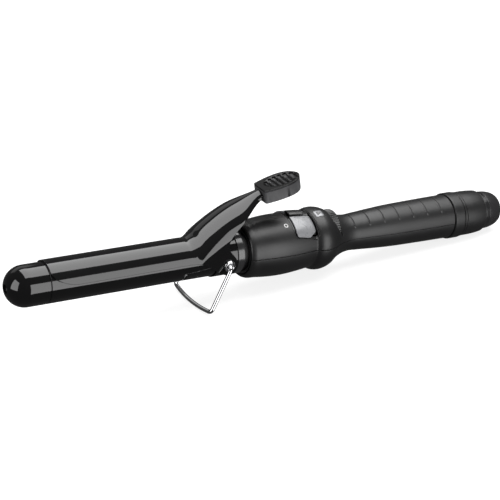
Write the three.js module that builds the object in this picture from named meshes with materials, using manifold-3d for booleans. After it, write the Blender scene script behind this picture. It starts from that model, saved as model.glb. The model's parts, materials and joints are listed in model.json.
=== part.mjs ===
// Curling iron: heated barrel, spring clamp with a thumb lever, fold-away wire stand, rocker
// switch, temperature dial and swivelling cord outlet.
//
// Pieces are drawn in the iron's own axis frame: x runs along the barrel from the tip (0)
// to the cord outlet, y is across and z is up, away from the stand. The finished iron is
// then pitched so that the stand's foot and the tail both rest on z = 0.
// All lengths are millimetres and all angles are degrees.

import * as THREE from "three";
import { mergeVertices } from "three/addons/utils/BufferGeometryUtils.js";
import Module from "manifold-3d";

const wasm = await Module();
wasm.setup();

// ------------------------------------------------------------------ driving dimensions

const GAP = 0.3; // clearance between neighbouring pieces

// barrel
const BARREL_R = 12.5;
const BARREL_WALL = 1.0;
const BARREL_LENGTH = 128.7;
const TIP_CAP_LENGTH = 24;
const CAP_SPIGOT_LENGTH = 8;
const COLLAR_WIDTH = 4.6;
const COLLAR_WALL = 0.7;
const BAND_WIDTH = 13.6;
const BAND_WALL = 0.5;
const EDGE = 0.3; // chamfer on small turned edges
const BUSH_SPIGOT_LENGTH = 8;
const BUSH_WALL = 2.5;
const BUSH_FLANGE_WIDTH = 2.4;
const BUSH_FLANGE_GRIP = 0.4;

// tip screw
const SCREW_SHANK_R = 1.3;
const SCREW_HEAD_R = 2.4;
const SCREW_HEAD_HEIGHT = 1.8;
const TIP_RECESS_DEPTH = 4.6;

// heater core
const CORE_CLEAR_OF_PIVOT = 5.5;
const HEATER_HALF_WIDTH = 6;
const HEATER_HALF_THICKNESS = 1.1;
const ELECTRODE_THICKNESS = 0.5;
const TAB_LENGTH = 4;
const TAB_MARGIN = 0.6;
const SLEEVE_WALL = 0.4;
const SPACER_WIDTH = 5;
const FUSE_R = 1.7;
const FUSE_LENGTH = 9;
const SENSOR_R = 1.1;
const SENSOR_LENGTH = 5;
const SENSOR_DEPTH = 6.5;

// clamp, lever and thumb rest
const CLAMP_T = 0.7;
const CLAMP_TIP_SETBACK = 0.6;
const CLAMP_EDGE_Z = 2;
const CLAMP_CORNER = 17;
const PIVOT_SETBACK = 11.5;
const PIVOT_DROP = 2;
const EAR_SPREAD = 0.8;
const EAR_R = 6.3;
const LEVER_REACH = 24.6;
const LEVER_TIP_HALF_WIDTH = 5.4;
const LEVER_TIP_EDGE = 20.2;
const EARS_BEGIN = 27;
const EARS_FULL = 9;
const TAPER_BEGIN = 6.5;
const REST_LENGTH = 28;
const REST_HALF_WIDTH = 7.2;
const REST_BOW = 2.2;
const REST_THICKNESS = 8.7;
const REST_TILT = 12.5;
const REST_RISE = 26.5;
const REST_SETBACK = 0.7;
const REST_RIBS = 5;
const REST_RIB_WIDTH = 1.3;
const REST_RIB_DROP = 0.3;
const REST_DISH_DEPTH = 1.4;
const REST_DISH_FRONT = 5.5;
const REST_RIM = 1.5;
const TONGUE_LENGTH = 14;
const TONGUE_ROOT = 5;
const TONGUE_HALF_WIDTH = 5;
const TONGUE_THICKNESS = 0.9;

// rivets and wire stand
const RIVET_HEAD_R = 3.7;
const RIVET_HEAD_HEIGHT = 1.1;
const RIVET_SHANK_R = 2.6;
const RIVET_INNER_REACH = 3.1;
const WIRE_R = 1.3;
const WIRE_CLEARANCE = 0.3;
const STAND_LEAN = 31;
const STAND_LEG = 29.1;
const STAND_BOW = 2.2;
const STAND_HALF_WIDTH = 22.4;
const STAND_BEND_R = 2.6;
const WIRE_HOOK_OUT = 1.6;

// clamp spring
const SPRING_T = 0.5;
const SPRING_HALF_WIDTH = 3.6;
const SPRING_SEAT_LENGTH = 15;
const SPRING_BEND_R = 1.6;
const SPRING_SEAT_REAR = 5;
const SPRING_TIP_REACH = 7.5;
const SPRING_BELLY = 9;

// body shells
const SHELL_WALL = 2;
const NECK_GAP = 3;
const FRONT_STEP = 3.1;
const SHOULDER_STEP = 1.3;
const BELLY_R = 19.05;
const BELLY_AT = 23;
const VALLEY_R = 17.35;
const BODY_LENGTH = 46.5;
const BULGE_R = 19.7;
const BULGE_LENGTH = 13;
const NECK_R = 11.5;
const NECK_AT = 78;
const GRIP_R = 14;
const GRIP_LENGTH = 75.5;
const GRIP_GROOVES = 7;
const GROOVE_PITCH = 10.8;
const GROOVE_SETBACK = 1.2;
const GROOVE_DEPTH = 0.5;
const GROOVE_HALF_WIDTH = 0.7;
const GROOVE_HALF_ANGLE = 53;
const LIP_WIDTH = 2;
const MARK_HALF_SIZE = 3;
const MARK_DEPTH = 1;
const MARK_PROUD = 0.05;
const MARK_ANGLE = 15; // round from the top, towards the near side
const MARK_FORWARD = 0.8; // of the bulge's widest place

// shell screws
const SHELL_SCREW_SEAT = 6;
const SHELL_SCREW_REACH = 5.5;
const SHELL_SCREW_HEAD = 2;
const BOSS_R = 2.95;
const LOWER_BOSS_R = 4.3;

// switch
const SWITCH_SETBACK = 30.6;
const SWITCH_LENGTH = 17.6;
const SWITCH_HALF_WIDTH = 16;
const SWITCH_FLOOR_Z = 6.4;
const FRAME_WALL = 1;
const ROCKER_PIVOT_Z = 11;
const ROCKER_PIN_R = 1.1;
const ROCKER_TILT = 3;
const ROCKER_SKIRT = 1.8;
const ROCKER_SIDE_GAP = 0.6;
const PLATE_T = 1.1;
const PLATE_PROUD = 0.8;
const SADDLE_T = 1.6;
const STEM_HALF_WIDTH = 2;
const STEM_SETBACK = 6;
const STEM_PLAY = 1.2;
const MODULE_HALF_LENGTH = 5;
const MODULE_HALF_WIDTH = 6;
const RIDGE_HALF_WIDTH = 2.8;
const RIDGE_PROUD = 2.2;

// board and what is on it
const BOARD_Z = 1.7;
const BOARD_T = 1.6;
const BOARD_HALF_WIDTH = 11.5;
const BOARD_LENGTH = 32;
const BOARD_SETBACK = 16;
const CAPACITOR_SETBACK = 4;
const CAPACITOR_LENGTH = 13;
const CAPACITOR_WIDTH = 7;
const CAPACITOR_HEIGHT = 10;
const CAPACITOR_Y = -5;
const TRIAC_SETBACK = 20;
const TRIAC_WIDTH = 9.5;
const TRIAC_TAB_T = 1.3;
const TRIAC_TAB_HEIGHT = 12;
const TRIAC_BODY_T = 3.6;
const TRIAC_BODY_HEIGHT = 7;
const TRIAC_Y = 3.75;

// dial
const DIAL_R = 12.6;
const DIAL_RAISE = 4.2;
const DIAL_WIDTH = 5.4;
const DIAL_BEHIND_BULGE = 10.6;
const DIAL_BORE_R = 8.6;
const DIAL_TEETH = 44;
const DIAL_TOOTH_DEPTH = 0.5;
const DIAL_CLEARANCE = 0.6;
const CARRIER_WALL = 1.6;
const TRACK_T = 1.3;
const TRACK_R = 11.4;
const WIPER_T = 1.2;
const WIPER_REACH = 1.2;
const WIPER_HALF_HEIGHT = 0.9;
const WIPER_HALF_WIDTH = 1.4;
const CARRIER_FLANGE = 1.8;

// leads
const LEAD_R = 0.9;
const LEAD_Y = 4.4;
const LEAD_Z = 2.6;
const SENSOR_LEAD_Y = 8.5;

// tail
const TAIL_SPIGOT_R = 12.8;
const BAND_LENGTH = 7.6;
const TAIL_BAND_R = 14.8;
const TRIM_WIDTH = 1.6;
const TRIM_R = 14.4;
const TAIL_R = 14.2;
const TAIL_END_R = 13.2;
const TAIL_LENGTH = 15.6;
const TAIL_WALL = 2;
const TAIL_SPIGOT_WALL = 1.5;
const TAIL_SHOULDER = 0.45;
const TAIL_EASE = 0.72;
const TAIL_EASE_DROP = 0.25;
const TAIL_ROUND = 0.6;
const BAND_EDGE = 0.5;
const SWIVEL_R = 12.2;
const SWIVEL_LENGTH = 15.2;
const SWIVEL_NECK_R = 8.4;
const SWIVEL_FLANGE_R = 10.6;
const SWIVEL_FLANGE_WIDTH = 2.4;
const OUTLET_FACE_R = 7.2;
const CORD_BORE_R = 3.7;
const SLIP_RING_T = 0.7;
const BLOCK_LENGTH = 5;
const BLOCK_R = 8.5;
const BLOCK_BORE_R = 1.5;
const BLOCK_GAP = 1.6;
const TRACK_INNER = 2; // outer edge of the inner slip ring, beyond the bore
const TRACK_GAP = 1.2;
const TRACK_WIDTH = 1.8;
const BRUSH_HALF_WIDTH = 0.7;
const BRUSH_HALF_HEIGHT = 1.4;

const SEGMENTS = 32;

// ------------------------------------------------------------------ stations along x

const barrelFront = TIP_CAP_LENGTH + GAP;
const barrelRear = barrelFront + BARREL_LENGTH;
const pivotX = barrelRear - PIVOT_SETBACK;
const pivotZ = -PIVOT_DROP;
const clampFront = TIP_CAP_LENGTH + CLAMP_TIP_SETBACK;
const clampR = BARREL_R + GAP + CLAMP_T;
const earHalfWidth = clampR + EAR_SPREAD;
const bodyFront = barrelRear + NECK_GAP;
const frontR = BARREL_R + FRONT_STEP;
const shoulderR = frontR + SHOULDER_STEP;
const bushFlangeR = frontR - SHELL_WALL + BUSH_FLANGE_GRIP;
const valleyX = bodyFront + BODY_LENGTH;
const bulgeX = valleyX + 0.55 * BULGE_LENGTH;
const dialX = bulgeX + DIAL_BEHIND_BULGE;
const neckX = bodyFront + NECK_AT;
const gripEnd = neckX + GRIP_LENGTH;
const tailBandX = gripEnd + 2 * GAP;
const trimX = tailBandX + BAND_LENGTH + GAP;
const tailX = trimX + TRIM_WIDTH + GAP;
const tailEnd = tailX + TAIL_LENGTH;
const swivelX = tailEnd + GAP;
const swivelEnd = swivelX + SWIVEL_LENGTH;
const coreFront = barrelFront + CAP_SPIGOT_LENGTH + GAP;
const coreRear = pivotX - CORE_CLEAR_OF_PIVOT;
const switchFront = bodyFront + SWITCH_SETBACK;
const switchRear = switchFront + SWITCH_LENGTH;
const boardFront = bodyFront + BOARD_SETBACK;
const boardRear = boardFront + BOARD_LENGTH;

// ------------------------------------------------------------------ solid helpers

const radians = THREE.MathUtils.degToRad;

/** A closed three.js geometry as a manifold-3d solid, facing out. */
function solid(geometry) {
  const bare = geometry.index ? geometry.toNonIndexed() : geometry.clone();
  bare.deleteAttribute("normal");
  bare.deleteAttribute("uv");
  const merged = mergeVertices(bare, 1e-4);
  const index = Array.from(merged.index.array);
  const faces = [];
  for (let i = 0; i < index.length; i += 3) {
    const [a, b, c] = index.slice(i, i + 3);
    if (a !== b && b !== c && c !== a) faces.push(a, b, c);
  }
  const build = (triangles) =>
    new wasm.Manifold(
      new wasm.Mesh({
        numProp: 3,
        vertProperties: merged.attributes.position.array,
        triVerts: new Uint32Array(triangles),
      }),
    );
  const made = build(faces);
  return made.volume() > 0 ? made : build(faces.reverse());
}

/** A manifold-3d solid as a three.js geometry. */
function geometryOf(body) {
  const { vertProperties, triVerts } = body.getMesh();
  const geometry = new THREE.BufferGeometry();
  geometry.setAttribute("position", new THREE.BufferAttribute(vertProperties, 3));
  geometry.setIndex(new THREE.BufferAttribute(triVerts, 1));
  return geometry;
}

/** The solid carried by a matrix. */
function carried(body, matrix) {
  return solid(geometryOf(body).applyMatrix4(matrix));
}

/** A solid of revolution about the barrel's axis from [station, radius] points. */
function revolve(points, segments = SEGMENTS) {
  const profile = points.map(([x, r]) => new THREE.Vector2(r, x));
  return solid(new THREE.LatheGeometry(profile, segments).rotateZ(-Math.PI / 2));
}

/** A solid of revolution whose profile closes on itself. */
function ring(points, segments = SEGMENTS) {
  return revolve([...points, points[0]], segments);
}

/** A plain tube along x. */
function tube(x0, x1, inner, outer, segments = SEGMENTS) {
  return ring([[x0, inner], [x0, outer], [x1, outer], [x1, inner]], segments);
}

/** A plain cylinder along x, raised by z. */
function rod(x0, x1, r, { y = 0, z = 0, segments = 24 } = {}) {
  const shape = revolve([[x0, 0], [x0, r], [x1, r], [x1, 0]], segments);
  return carried(shape, new THREE.Matrix4().makeTranslation(0, y, z));
}

/** A cylinder along y. */
function pin(x, z, y0, y1, r, segments = 20) {
  const shape = new THREE.CylinderGeometry(r, r, Math.abs(y1 - y0), segments);
  return solid(shape.translate(x, (y0 + y1) / 2, z));
}

/** A cylinder along z. */
function post(x, y, z0, z1, r, segments = 16) {
  const shape = new THREE.CylinderGeometry(r, r, z1 - z0, segments);
  return solid(shape.rotateX(Math.PI / 2).translate(x, y, (z0 + z1) / 2));
}

/** A box between two corners. */
function block(x0, x1, y0, y1, z0, z1) {
  const shape = new THREE.BoxGeometry(x1 - x0, y1 - y0, z1 - z0);
  return solid(shape.translate((x0 + x1) / 2, (y0 + y1) / 2, (z0 + z1) / 2));
}

/** A side outline in x and z, extruded across the iron. */
function sidePrism(shape, halfWidth, curveSegments = 8) {
  const options = { depth: 2 * halfWidth, bevelEnabled: false, curveSegments };
  const body = new THREE.ExtrudeGeometry(shape, options);
  return solid(body.rotateX(Math.PI / 2).translate(0, halfWidth, 0));
}

/** An outline in y and z, extruded along x. */
function crossPrism(shape, x0, x1, curveSegments = 16) {
  const options = { depth: x1 - x0, bevelEnabled: false, curveSegments };
  const body = new THREE.ExtrudeGeometry(shape, options);
  return solid(body.rotateX(Math.PI / 2).rotateZ(Math.PI / 2).translate(x0, 0, 0));
}

/** A round wire of radius r along a path. */
function wire(path, r, steps, sides = 8) {
  const section = new THREE.Shape();
  for (let i = 0; i < sides; i += 1) {
    const a = (2 * Math.PI * i) / sides;
    const at = [r * Math.cos(a), r * Math.sin(a)];
    if (i === 0) section.moveTo(...at);
    else section.lineTo(...at);
  }
  section.closePath();
  return solid(new THREE.ExtrudeGeometry(section, { steps, extrudePath: path }));
}

const root = new THREE.Group();

/** Adds one named piece to the iron. */
function piece(name, body, material) {
  const geometry = geometryOf(body);
  geometry.computeVertexNormals();
  const mesh = new THREE.Mesh(geometry, material());
  mesh.name = name;
  root.add(mesh);
}

// ------------------------------------------------------------------ materials

const finish = (color, roughness, metalness) => () =>
  new THREE.MeshStandardMaterial({ color, roughness, metalness });

const glossBlack = finish(0x0b0b0c, 0.12, 0.1);
const softBlack = finish(0x1c1c1e, 0.55, 0);
const heatBlack = finish(0x101011, 0.5, 0);
const darkCollar = finish(0x2a2a2c, 0.2, 0.8);
const chrome = finish(0xd8d8da, 0.08, 1);
const silver = finish(0xa9abaf, 0.25, 0.7);
const springBrass = finish(0xc9a35a, 0.25, 1);
const aluminium = finish(0xb8babd, 0.4, 1);
const ceramic = finish(0xe6e2d8, 0.6, 0);
const steel = finish(0x8f9296, 0.35, 1);
const boardGreen = finish(0x1f5a36, 0.5, 0);
const leadWhite = finish(0xd9d5cc, 0.5, 0);
const leadBlue = finish(0x2f5f9e, 0.45, 0);
const leadBrown = finish(0x5b3a22, 0.45, 0);
const blackPart = finish(0x161617, 0.4, 0);

// ------------------------------------------------------------------ barrel and tip

function barrelTube() {
  const shell = tube(barrelFront, barrelRear, BARREL_R - BARREL_WALL, BARREL_R);
  const hole = pin(pivotX, pivotZ, -2 * BARREL_R, 2 * BARREL_R, RIVET_SHANK_R + GAP);
  return shell.subtract(hole);
}

function tipCap() {
  const recess = SCREW_HEAD_R + GAP;
  const bore = SCREW_SHANK_R + GAP;
  const spigot = BARREL_R - BARREL_WALL - GAP;
  const end = barrelFront + CAP_SPIGOT_LENGTH;
  const start = Math.asin(recess / BARREL_R);
  const dome = [];
  const steps = 7;
  for (let i = 0; i <= steps; i += 1) {
    const a = start + ((Math.PI / 2 - start) * i) / steps;
    dome.push([BARREL_R * (1 - Math.cos(a)), BARREL_R * Math.sin(a)]);
  }
  return ring([
    [TIP_RECESS_DEPTH, bore],
    [TIP_RECESS_DEPTH, recess],
    ...dome,
    [TIP_CAP_LENGTH, BARREL_R],
    [TIP_CAP_LENGTH, spigot],
    [end, spigot],
    [end, bore],
  ]);
}

function tipScrew() {
  const seat = TIP_RECESS_DEPTH - GAP;
  const top = seat - SCREW_HEAD_HEIGHT;
  const end = coreFront + SPACER_WIDTH;
  const body = revolve(
    [
      [top, 0],
      [top, SCREW_HEAD_R - EDGE],
      [top + EDGE, SCREW_HEAD_R],
      [seat, SCREW_HEAD_R],
      [seat, SCREW_SHANK_R],
      [end, SCREW_SHANK_R],
      [end, 0],
    ],
    16,
  );
  const slot = 0.35;
  const depth = 0.9;
  return body
    .subtract(block(top - 1, top + depth, -SCREW_HEAD_R, SCREW_HEAD_R, -slot, slot))
    .subtract(block(top - 1, top + depth, -slot, slot, -SCREW_HEAD_R, SCREW_HEAD_R));
}

function frontSpacer() {
  const outer = BARREL_R - BARREL_WALL - GAP;
  return tube(coreFront, coreFront + SPACER_WIDTH, SCREW_SHANK_R + GAP, outer, 24);
}

const heaterFront = coreFront + SPACER_WIDTH + GAP;
const electrodeZ = HEATER_HALF_THICKNESS + GAP;
const sleeveZ = electrodeZ + ELECTRODE_THICKNESS + GAP;
const spreaderZ = sleeveZ + SLEEVE_WALL + GAP;

function heaterBar() {
  const [w, t] = [HEATER_HALF_WIDTH, HEATER_HALF_THICKNESS];
  return block(heaterFront, coreRear, -w, w, -t, t);
}

/** side is +1 for the upper electrode and -1 for the lower one. */
function electrode(side) {
  const w = HEATER_HALF_WIDTH;
  const [near, far] = [side * electrodeZ, side * (electrodeZ + ELECTRODE_THICKNESS)];
  const [z0, z1] = [Math.min(near, far), Math.max(near, far)];
  const tab = LEAD_R + TAB_MARGIN;
  const at = -side * LEAD_Y;
  const plate = block(heaterFront, coreRear, -w, w, z0, z1);
  return plate.add(block(coreRear - 1, coreRear + TAB_LENGTH, at - tab, at + tab, z0, z1));
}

function heaterSleeve() {
  const inner = HEATER_HALF_WIDTH + GAP;
  const outer = inner + SLEEVE_WALL;
  const z = sleeveZ + SLEEVE_WALL;
  return block(heaterFront, coreRear, -outer, outer, -z, z).subtract(
    block(heaterFront - 1, coreRear + 1, -inner, inner, -sleeveZ, sleeveZ),
  );
}

function heatSpreader(side) {
  const r = BARREL_R - BARREL_WALL - GAP;
  const full = rod(heaterFront, coreRear, r, { segments: 40 });
  const slab = block(heaterFront - 1, coreRear + 1, -2 * r, 2 * r, spreaderZ, 2 * r);
  const half = full.intersect(slab);
  return side > 0 ? half : carried(half, new THREE.Matrix4().makeRotationX(Math.PI));
}

function thermalFuse() {
  const x = coreRear + GAP;
  return rod(x, x + FUSE_LENGTH, FUSE_R, { z: SENSOR_DEPTH });
}

function thermistor() {
  const x = coreRear + GAP;
  return rod(x, x + SENSOR_LENGTH, SENSOR_R, { z: -SENSOR_DEPTH, segments: 16 });
}

function collar() {
  const inner = BARREL_R + GAP;
  const outer = inner + COLLAR_WALL;
  const x1 = barrelRear;
  const x0 = x1 - COLLAR_WIDTH;
  return ring([
    [x0, inner],
    [x0, outer - EDGE],
    [x0 + EDGE, outer],
    [x1 - EDGE, outer],
    [x1, outer - EDGE],
    [x1, inner],
  ]);
}

function pivotBand() {
  const inner = BARREL_R + GAP;
  const x1 = barrelRear - COLLAR_WIDTH - GAP;
  const band = tube(x1 - BAND_WIDTH, x1, inner, inner + BAND_WALL);
  return band.subtract(pin(pivotX, pivotZ, -2 * BARREL_R, 2 * BARREL_R, RIVET_SHANK_R + GAP));
}

const bushFlangeX = bodyFront + LIP_WIDTH + GAP;
const bushFlangeRear = bushFlangeX + BUSH_FLANGE_WIDTH;

function insulatorBush() {
  const spigot = BARREL_R - BARREL_WALL - GAP;
  const neck = BARREL_R - GAP;
  const bore = BARREL_R - BARREL_WALL - BUSH_WALL;
  const front = barrelRear - BUSH_SPIGOT_LENGTH;
  return ring([
    [front, bore],
    [front, spigot],
    [barrelRear + GAP, spigot],
    [barrelRear + GAP, neck],
    [bushFlangeX, neck],
    [bushFlangeX, bushFlangeR],
    [bushFlangeRear, bushFlangeR],
    [bushFlangeRear, bore],
  ]);
}

// ------------------------------------------------------------------ clamp

const leverTipX = pivotX + LEVER_REACH;

/** Crest height of the clamp and lever, above the axis, along x. */
const crest = new THREE.SplineCurve([
  new THREE.Vector2(pivotX - 26, clampR),
  new THREE.Vector2(pivotX - 22.4, clampR),
  new THREE.Vector2(pivotX - 19.6, clampR + 1.4),
  new THREE.Vector2(pivotX - 16.4, clampR + 4.5),
  new THREE.Vector2(pivotX - 9, clampR + 10),
  new THREE.Vector2(pivotX + 2, clampR + 16.4),
  new THREE.Vector2(pivotX + 14, clampR + 21.3),
  new THREE.Vector2(leverTipX, clampR + 25),
]);

/** Half-width of the arch at a station: spoon, then ears, then the narrowing lever. */
function archHalfWidth(x) {
  const toEars = THREE.MathUtils.smoothstep(x, pivotX - EARS_BEGIN, pivotX - EARS_FULL);
  const toTip = THREE.MathUtils.smoothstep(x, pivotX + TAPER_BEGIN, leverTipX);
  const ears = THREE.MathUtils.lerp(clampR, earHalfWidth, toEars);
  return THREE.MathUtils.lerp(ears, LEVER_TIP_HALF_WIDTH, toTip);
}

/** The pressed sheet: a round arch swept along the crest, with straight legs below. */
function archSheet() {
  const crestSteps = 16;
  const stations = [new THREE.Vector2(clampFront, clampR), ...crest.getPoints(crestSteps)];
  const arcSteps = 18;
  const across = arcSteps + 2;
  const legs = pivotZ - EAR_R - 1;
  const sheet = new THREE.BoxGeometry(1, 1, 1, stations.length - 1, across, 1);
  const at = sheet.getAttribute("position");
  for (let i = 0; i < at.count; i += 1) {
    const s = Math.round((at.getX(i) + 0.5) * (stations.length - 1));
    const k = Math.round((at.getY(i) + 0.5) * across);
    const inside = at.getZ(i) < 0;
    const { x, y: height } = stations[s];
    const next = stations[Math.min(s + 1, stations.length - 1)];
    const last = stations[Math.max(s - 1, 0)];
    const slope = (next.y - last.y) / (next.x - last.x);
    const w = archHalfWidth(x) - (inside ? CLAMP_T : 0);
    const h = height - (inside ? CLAMP_T * Math.hypot(1, slope) : 0);
    const a = (Math.PI * THREE.MathUtils.clamp(k - 1, 0, arcSteps)) / arcSteps;
    const onLeg = k === 0 || k === across;
    at.setXYZ(i, x, -w * Math.cos(a), onLeg ? legs : h - w + w * Math.sin(a));
  }
  return solid(sheet);
}

/** Side outline that trims the sheet to the spoon, the ears and the lever. */
function clampOutline() {
  const shape = new THREE.Shape();
  const high = clampR + 40;
  const edge = CLAMP_EDGE_Z;
  shape.moveTo(clampFront, high);
  shape.lineTo(clampFront, edge + 0.5 * CLAMP_CORNER);
  shape.bezierCurveTo(
    clampFront, edge + 0.32 * CLAMP_CORNER,
    clampFront + 0.44 * CLAMP_CORNER, edge + 0.03 * CLAMP_CORNER,
    clampFront + CLAMP_CORNER, edge,
  );
  shape.lineTo(pivotX - 24, edge);
  shape.bezierCurveTo(pivotX - 15, edge, pivotX - 12, pivotZ, pivotX - 5.2, pivotZ - 0.8 * EAR_R);
  shape.absarc(pivotX, pivotZ, EAR_R, radians(-130), radians(5), false);
  shape.bezierCurveTo(
    pivotX + 5, pivotZ + 6.5,
    pivotX - 1.8, pivotZ + 8,
    pivotX - 0.8, pivotZ + 14.5,
  );
  shape.bezierCurveTo(
    pivotX + 0.5, pivotZ + 21,
    pivotX + 12, pivotZ + 29,
    leverTipX, clampR + LEVER_TIP_EDGE,
  );
  shape.lineTo(leverTipX, high);
  shape.closePath();
  return shape;
}

/** Frame of the thumb rest: u runs back along its top, origin at its front top edge. */
const restFrame = new THREE.Matrix4()
  .makeTranslation(leverTipX + REST_SETBACK, 0, clampR + REST_RISE)
  .multiply(new THREE.Matrix4().makeRotationY(-radians(REST_TILT)));

const tongueZ = -0.5 * REST_THICKNESS;

function clamp() {
  const outline = sidePrism(clampOutline(), 2 * earHalfWidth, 10);
  const sheet = archSheet().intersect(outline);
  const hole = pin(pivotX, pivotZ, -2 * clampR, 2 * clampR, RIVET_SHANK_R + GAP);
  const t = TONGUE_THICKNESS / 2;
  const w = TONGUE_HALF_WIDTH;
  const strip = block(-TONGUE_ROOT, TONGUE_LENGTH, -w, w, tongueZ - t, tongueZ + t);
  return sheet.subtract(hole).add(carried(strip, restFrame));
}

/** Plan outline of the thumb rest: straight front, bowed sides, round back. */
function restPlan(inset) {
  const shape = new THREE.Shape();
  const w = REST_HALF_WIDTH - inset;
  const [front, back] = [inset, REST_LENGTH - inset];
  const corner = 1.4;
  shape.moveTo(front, -(w - corner));
  shape.lineTo(front, w - corner);
  shape.quadraticCurveTo(front, w, front + corner, w);
  const bow = w + REST_BOW;
  shape.bezierCurveTo(0.45 * back, bow, 0.8 * back, bow, 0.93 * back, 0.6 * w);
  shape.quadraticCurveTo(back, 0.3 * w, back, 0);
  shape.quadraticCurveTo(back, -0.3 * w, 0.93 * back, -0.6 * w);
  shape.bezierCurveTo(0.8 * back, -bow, 0.45 * back, -bow, front + corner, -w);
  shape.quadraticCurveTo(front, -w, front, -(w - corner));
  return shape;
}

function plate(shape, z0, z1) {
  const options = { depth: z1 - z0, bevelEnabled: false, curveSegments: 7 };
  return solid(new THREE.ExtrudeGeometry(shape, options).translate(0, 0, z0));
}

function thumbRest() {
  let body = plate(restPlan(0), -REST_THICKNESS, 0);
  const far = 2 * REST_HALF_WIDTH;
  let dish = plate(restPlan(REST_RIM), -REST_DISH_DEPTH, 1).intersect(
    block(REST_DISH_FRONT, REST_LENGTH, -far, far, -REST_THICKNESS, 2),
  );
  const pitch = (REST_LENGTH - REST_RIM - REST_DISH_FRONT) / (REST_RIBS + 1);
  const half = REST_RIB_WIDTH / 2;
  for (let i = 1; i <= REST_RIBS; i += 1) {
    const x = REST_DISH_FRONT + i * pitch;
    dish = dish.subtract(block(x - half, x + half, -far, far, -REST_THICKNESS, -REST_RIB_DROP));
  }
  body = body.subtract(dish);
  const t = TONGUE_THICKNESS / 2 + GAP;
  const w = TONGUE_HALF_WIDTH + GAP;
  const slot = block(-2, TONGUE_LENGTH + GAP, -w, w, tongueZ - t, tongueZ + t);
  return carried(body.subtract(slot), restFrame);
}

/** Side line of the leaf spring: seat on the band, front bend, then up under the lever. */
function springPath() {
  const seatZ = BARREL_R + 2 * GAP + BAND_WALL + SPRING_T / 2;
  const rear = pivotX + SPRING_SEAT_REAR;
  const front = rear - SPRING_SEAT_LENGTH;
  const r = SPRING_BEND_R;
  const tipX = pivotX + SPRING_TIP_REACH;
  const edge = SPRING_HALF_WIDTH / (archHalfWidth(tipX) - CLAMP_T);
  const tipZ = crestUnder(tipX) * Math.sqrt(1 - edge * edge) - SPRING_T;
  const path = new THREE.CurvePath();
  const at = (x, z) => new THREE.Vector3(x, 0, z);
  path.add(new THREE.LineCurve3(at(rear, seatZ), at(front, seatZ)));
  path.add(
    new THREE.CubicBezierCurve3(
      at(front, seatZ), at(front - 1.8 * r, seatZ),
      at(front - 1.5 * r, seatZ + 2 * r), at(front + 0.4 * r, seatZ + 2.6 * r),
    ),
  );
  path.add(
    new THREE.QuadraticBezierCurve3(
      at(front + 0.4 * r, seatZ + 2.6 * r),
      at(pivotX, seatZ + SPRING_BELLY),
      at(tipX, tipZ),
    ),
  );
  return path;
}

/** Height of the lever's underside above the axis at x. */
function crestUnder(x) {
  const points = crest.getPoints(80);
  const next = points.findIndex((p) => p.x >= x);
  const [a, b] = [points[next - 1], points[next]];
  const height = THREE.MathUtils.mapLinear(x, a.x, b.x, a.y, b.y);
  return height - CLAMP_T * Math.hypot(1, (b.y - a.y) / (b.x - a.x)) - GAP;
}

function clampSpring() {
  const strip = new THREE.Shape();
  const [t, w] = [SPRING_T / 2, SPRING_HALF_WIDTH];
  strip.moveTo(-t, -w);
  strip.lineTo(t, -w);
  strip.lineTo(t, w);
  strip.lineTo(-t, w);
  strip.closePath();
  const leaf = new THREE.ExtrudeGeometry(strip, { steps: 30, extrudePath: springPath() });
  return solid(leaf);
}

// ------------------------------------------------------------------ rivets and stand

const rivetBore = WIRE_R + WIRE_CLEARANCE;
const rivetSeatY = earHalfWidth + GAP;
const rivetInnerY = BARREL_R - RIVET_INNER_REACH;
const hookY = rivetSeatY + RIVET_HEAD_HEIGHT + WIRE_HOOK_OUT;

/** side is -1 for the near rivet and +1 for the far one. */
function rivet(side) {
  const [head, shank] = [RIVET_HEAD_R, RIVET_SHANK_R];
  const outer = rivetSeatY + RIVET_HEAD_HEIGHT;
  const turned = ring(
    [
      [rivetInnerY, rivetBore],
      [rivetInnerY, shank],
      [rivetSeatY, shank],
      [rivetSeatY, head],
      [outer - 2 * EDGE, head],
      [outer, head - 2 * EDGE],
      [outer, shank],
      [outer - EDGE, rivetBore + EDGE],
      [outer - 2 * EDGE, rivetBore],
    ],
    20,
  );
  const place = new THREE.Matrix4()
    .makeTranslation(pivotX, 0, pivotZ)
    .multiply(new THREE.Matrix4().makeRotationZ((side * Math.PI) / 2));
  return carried(turned, place);
}

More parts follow.
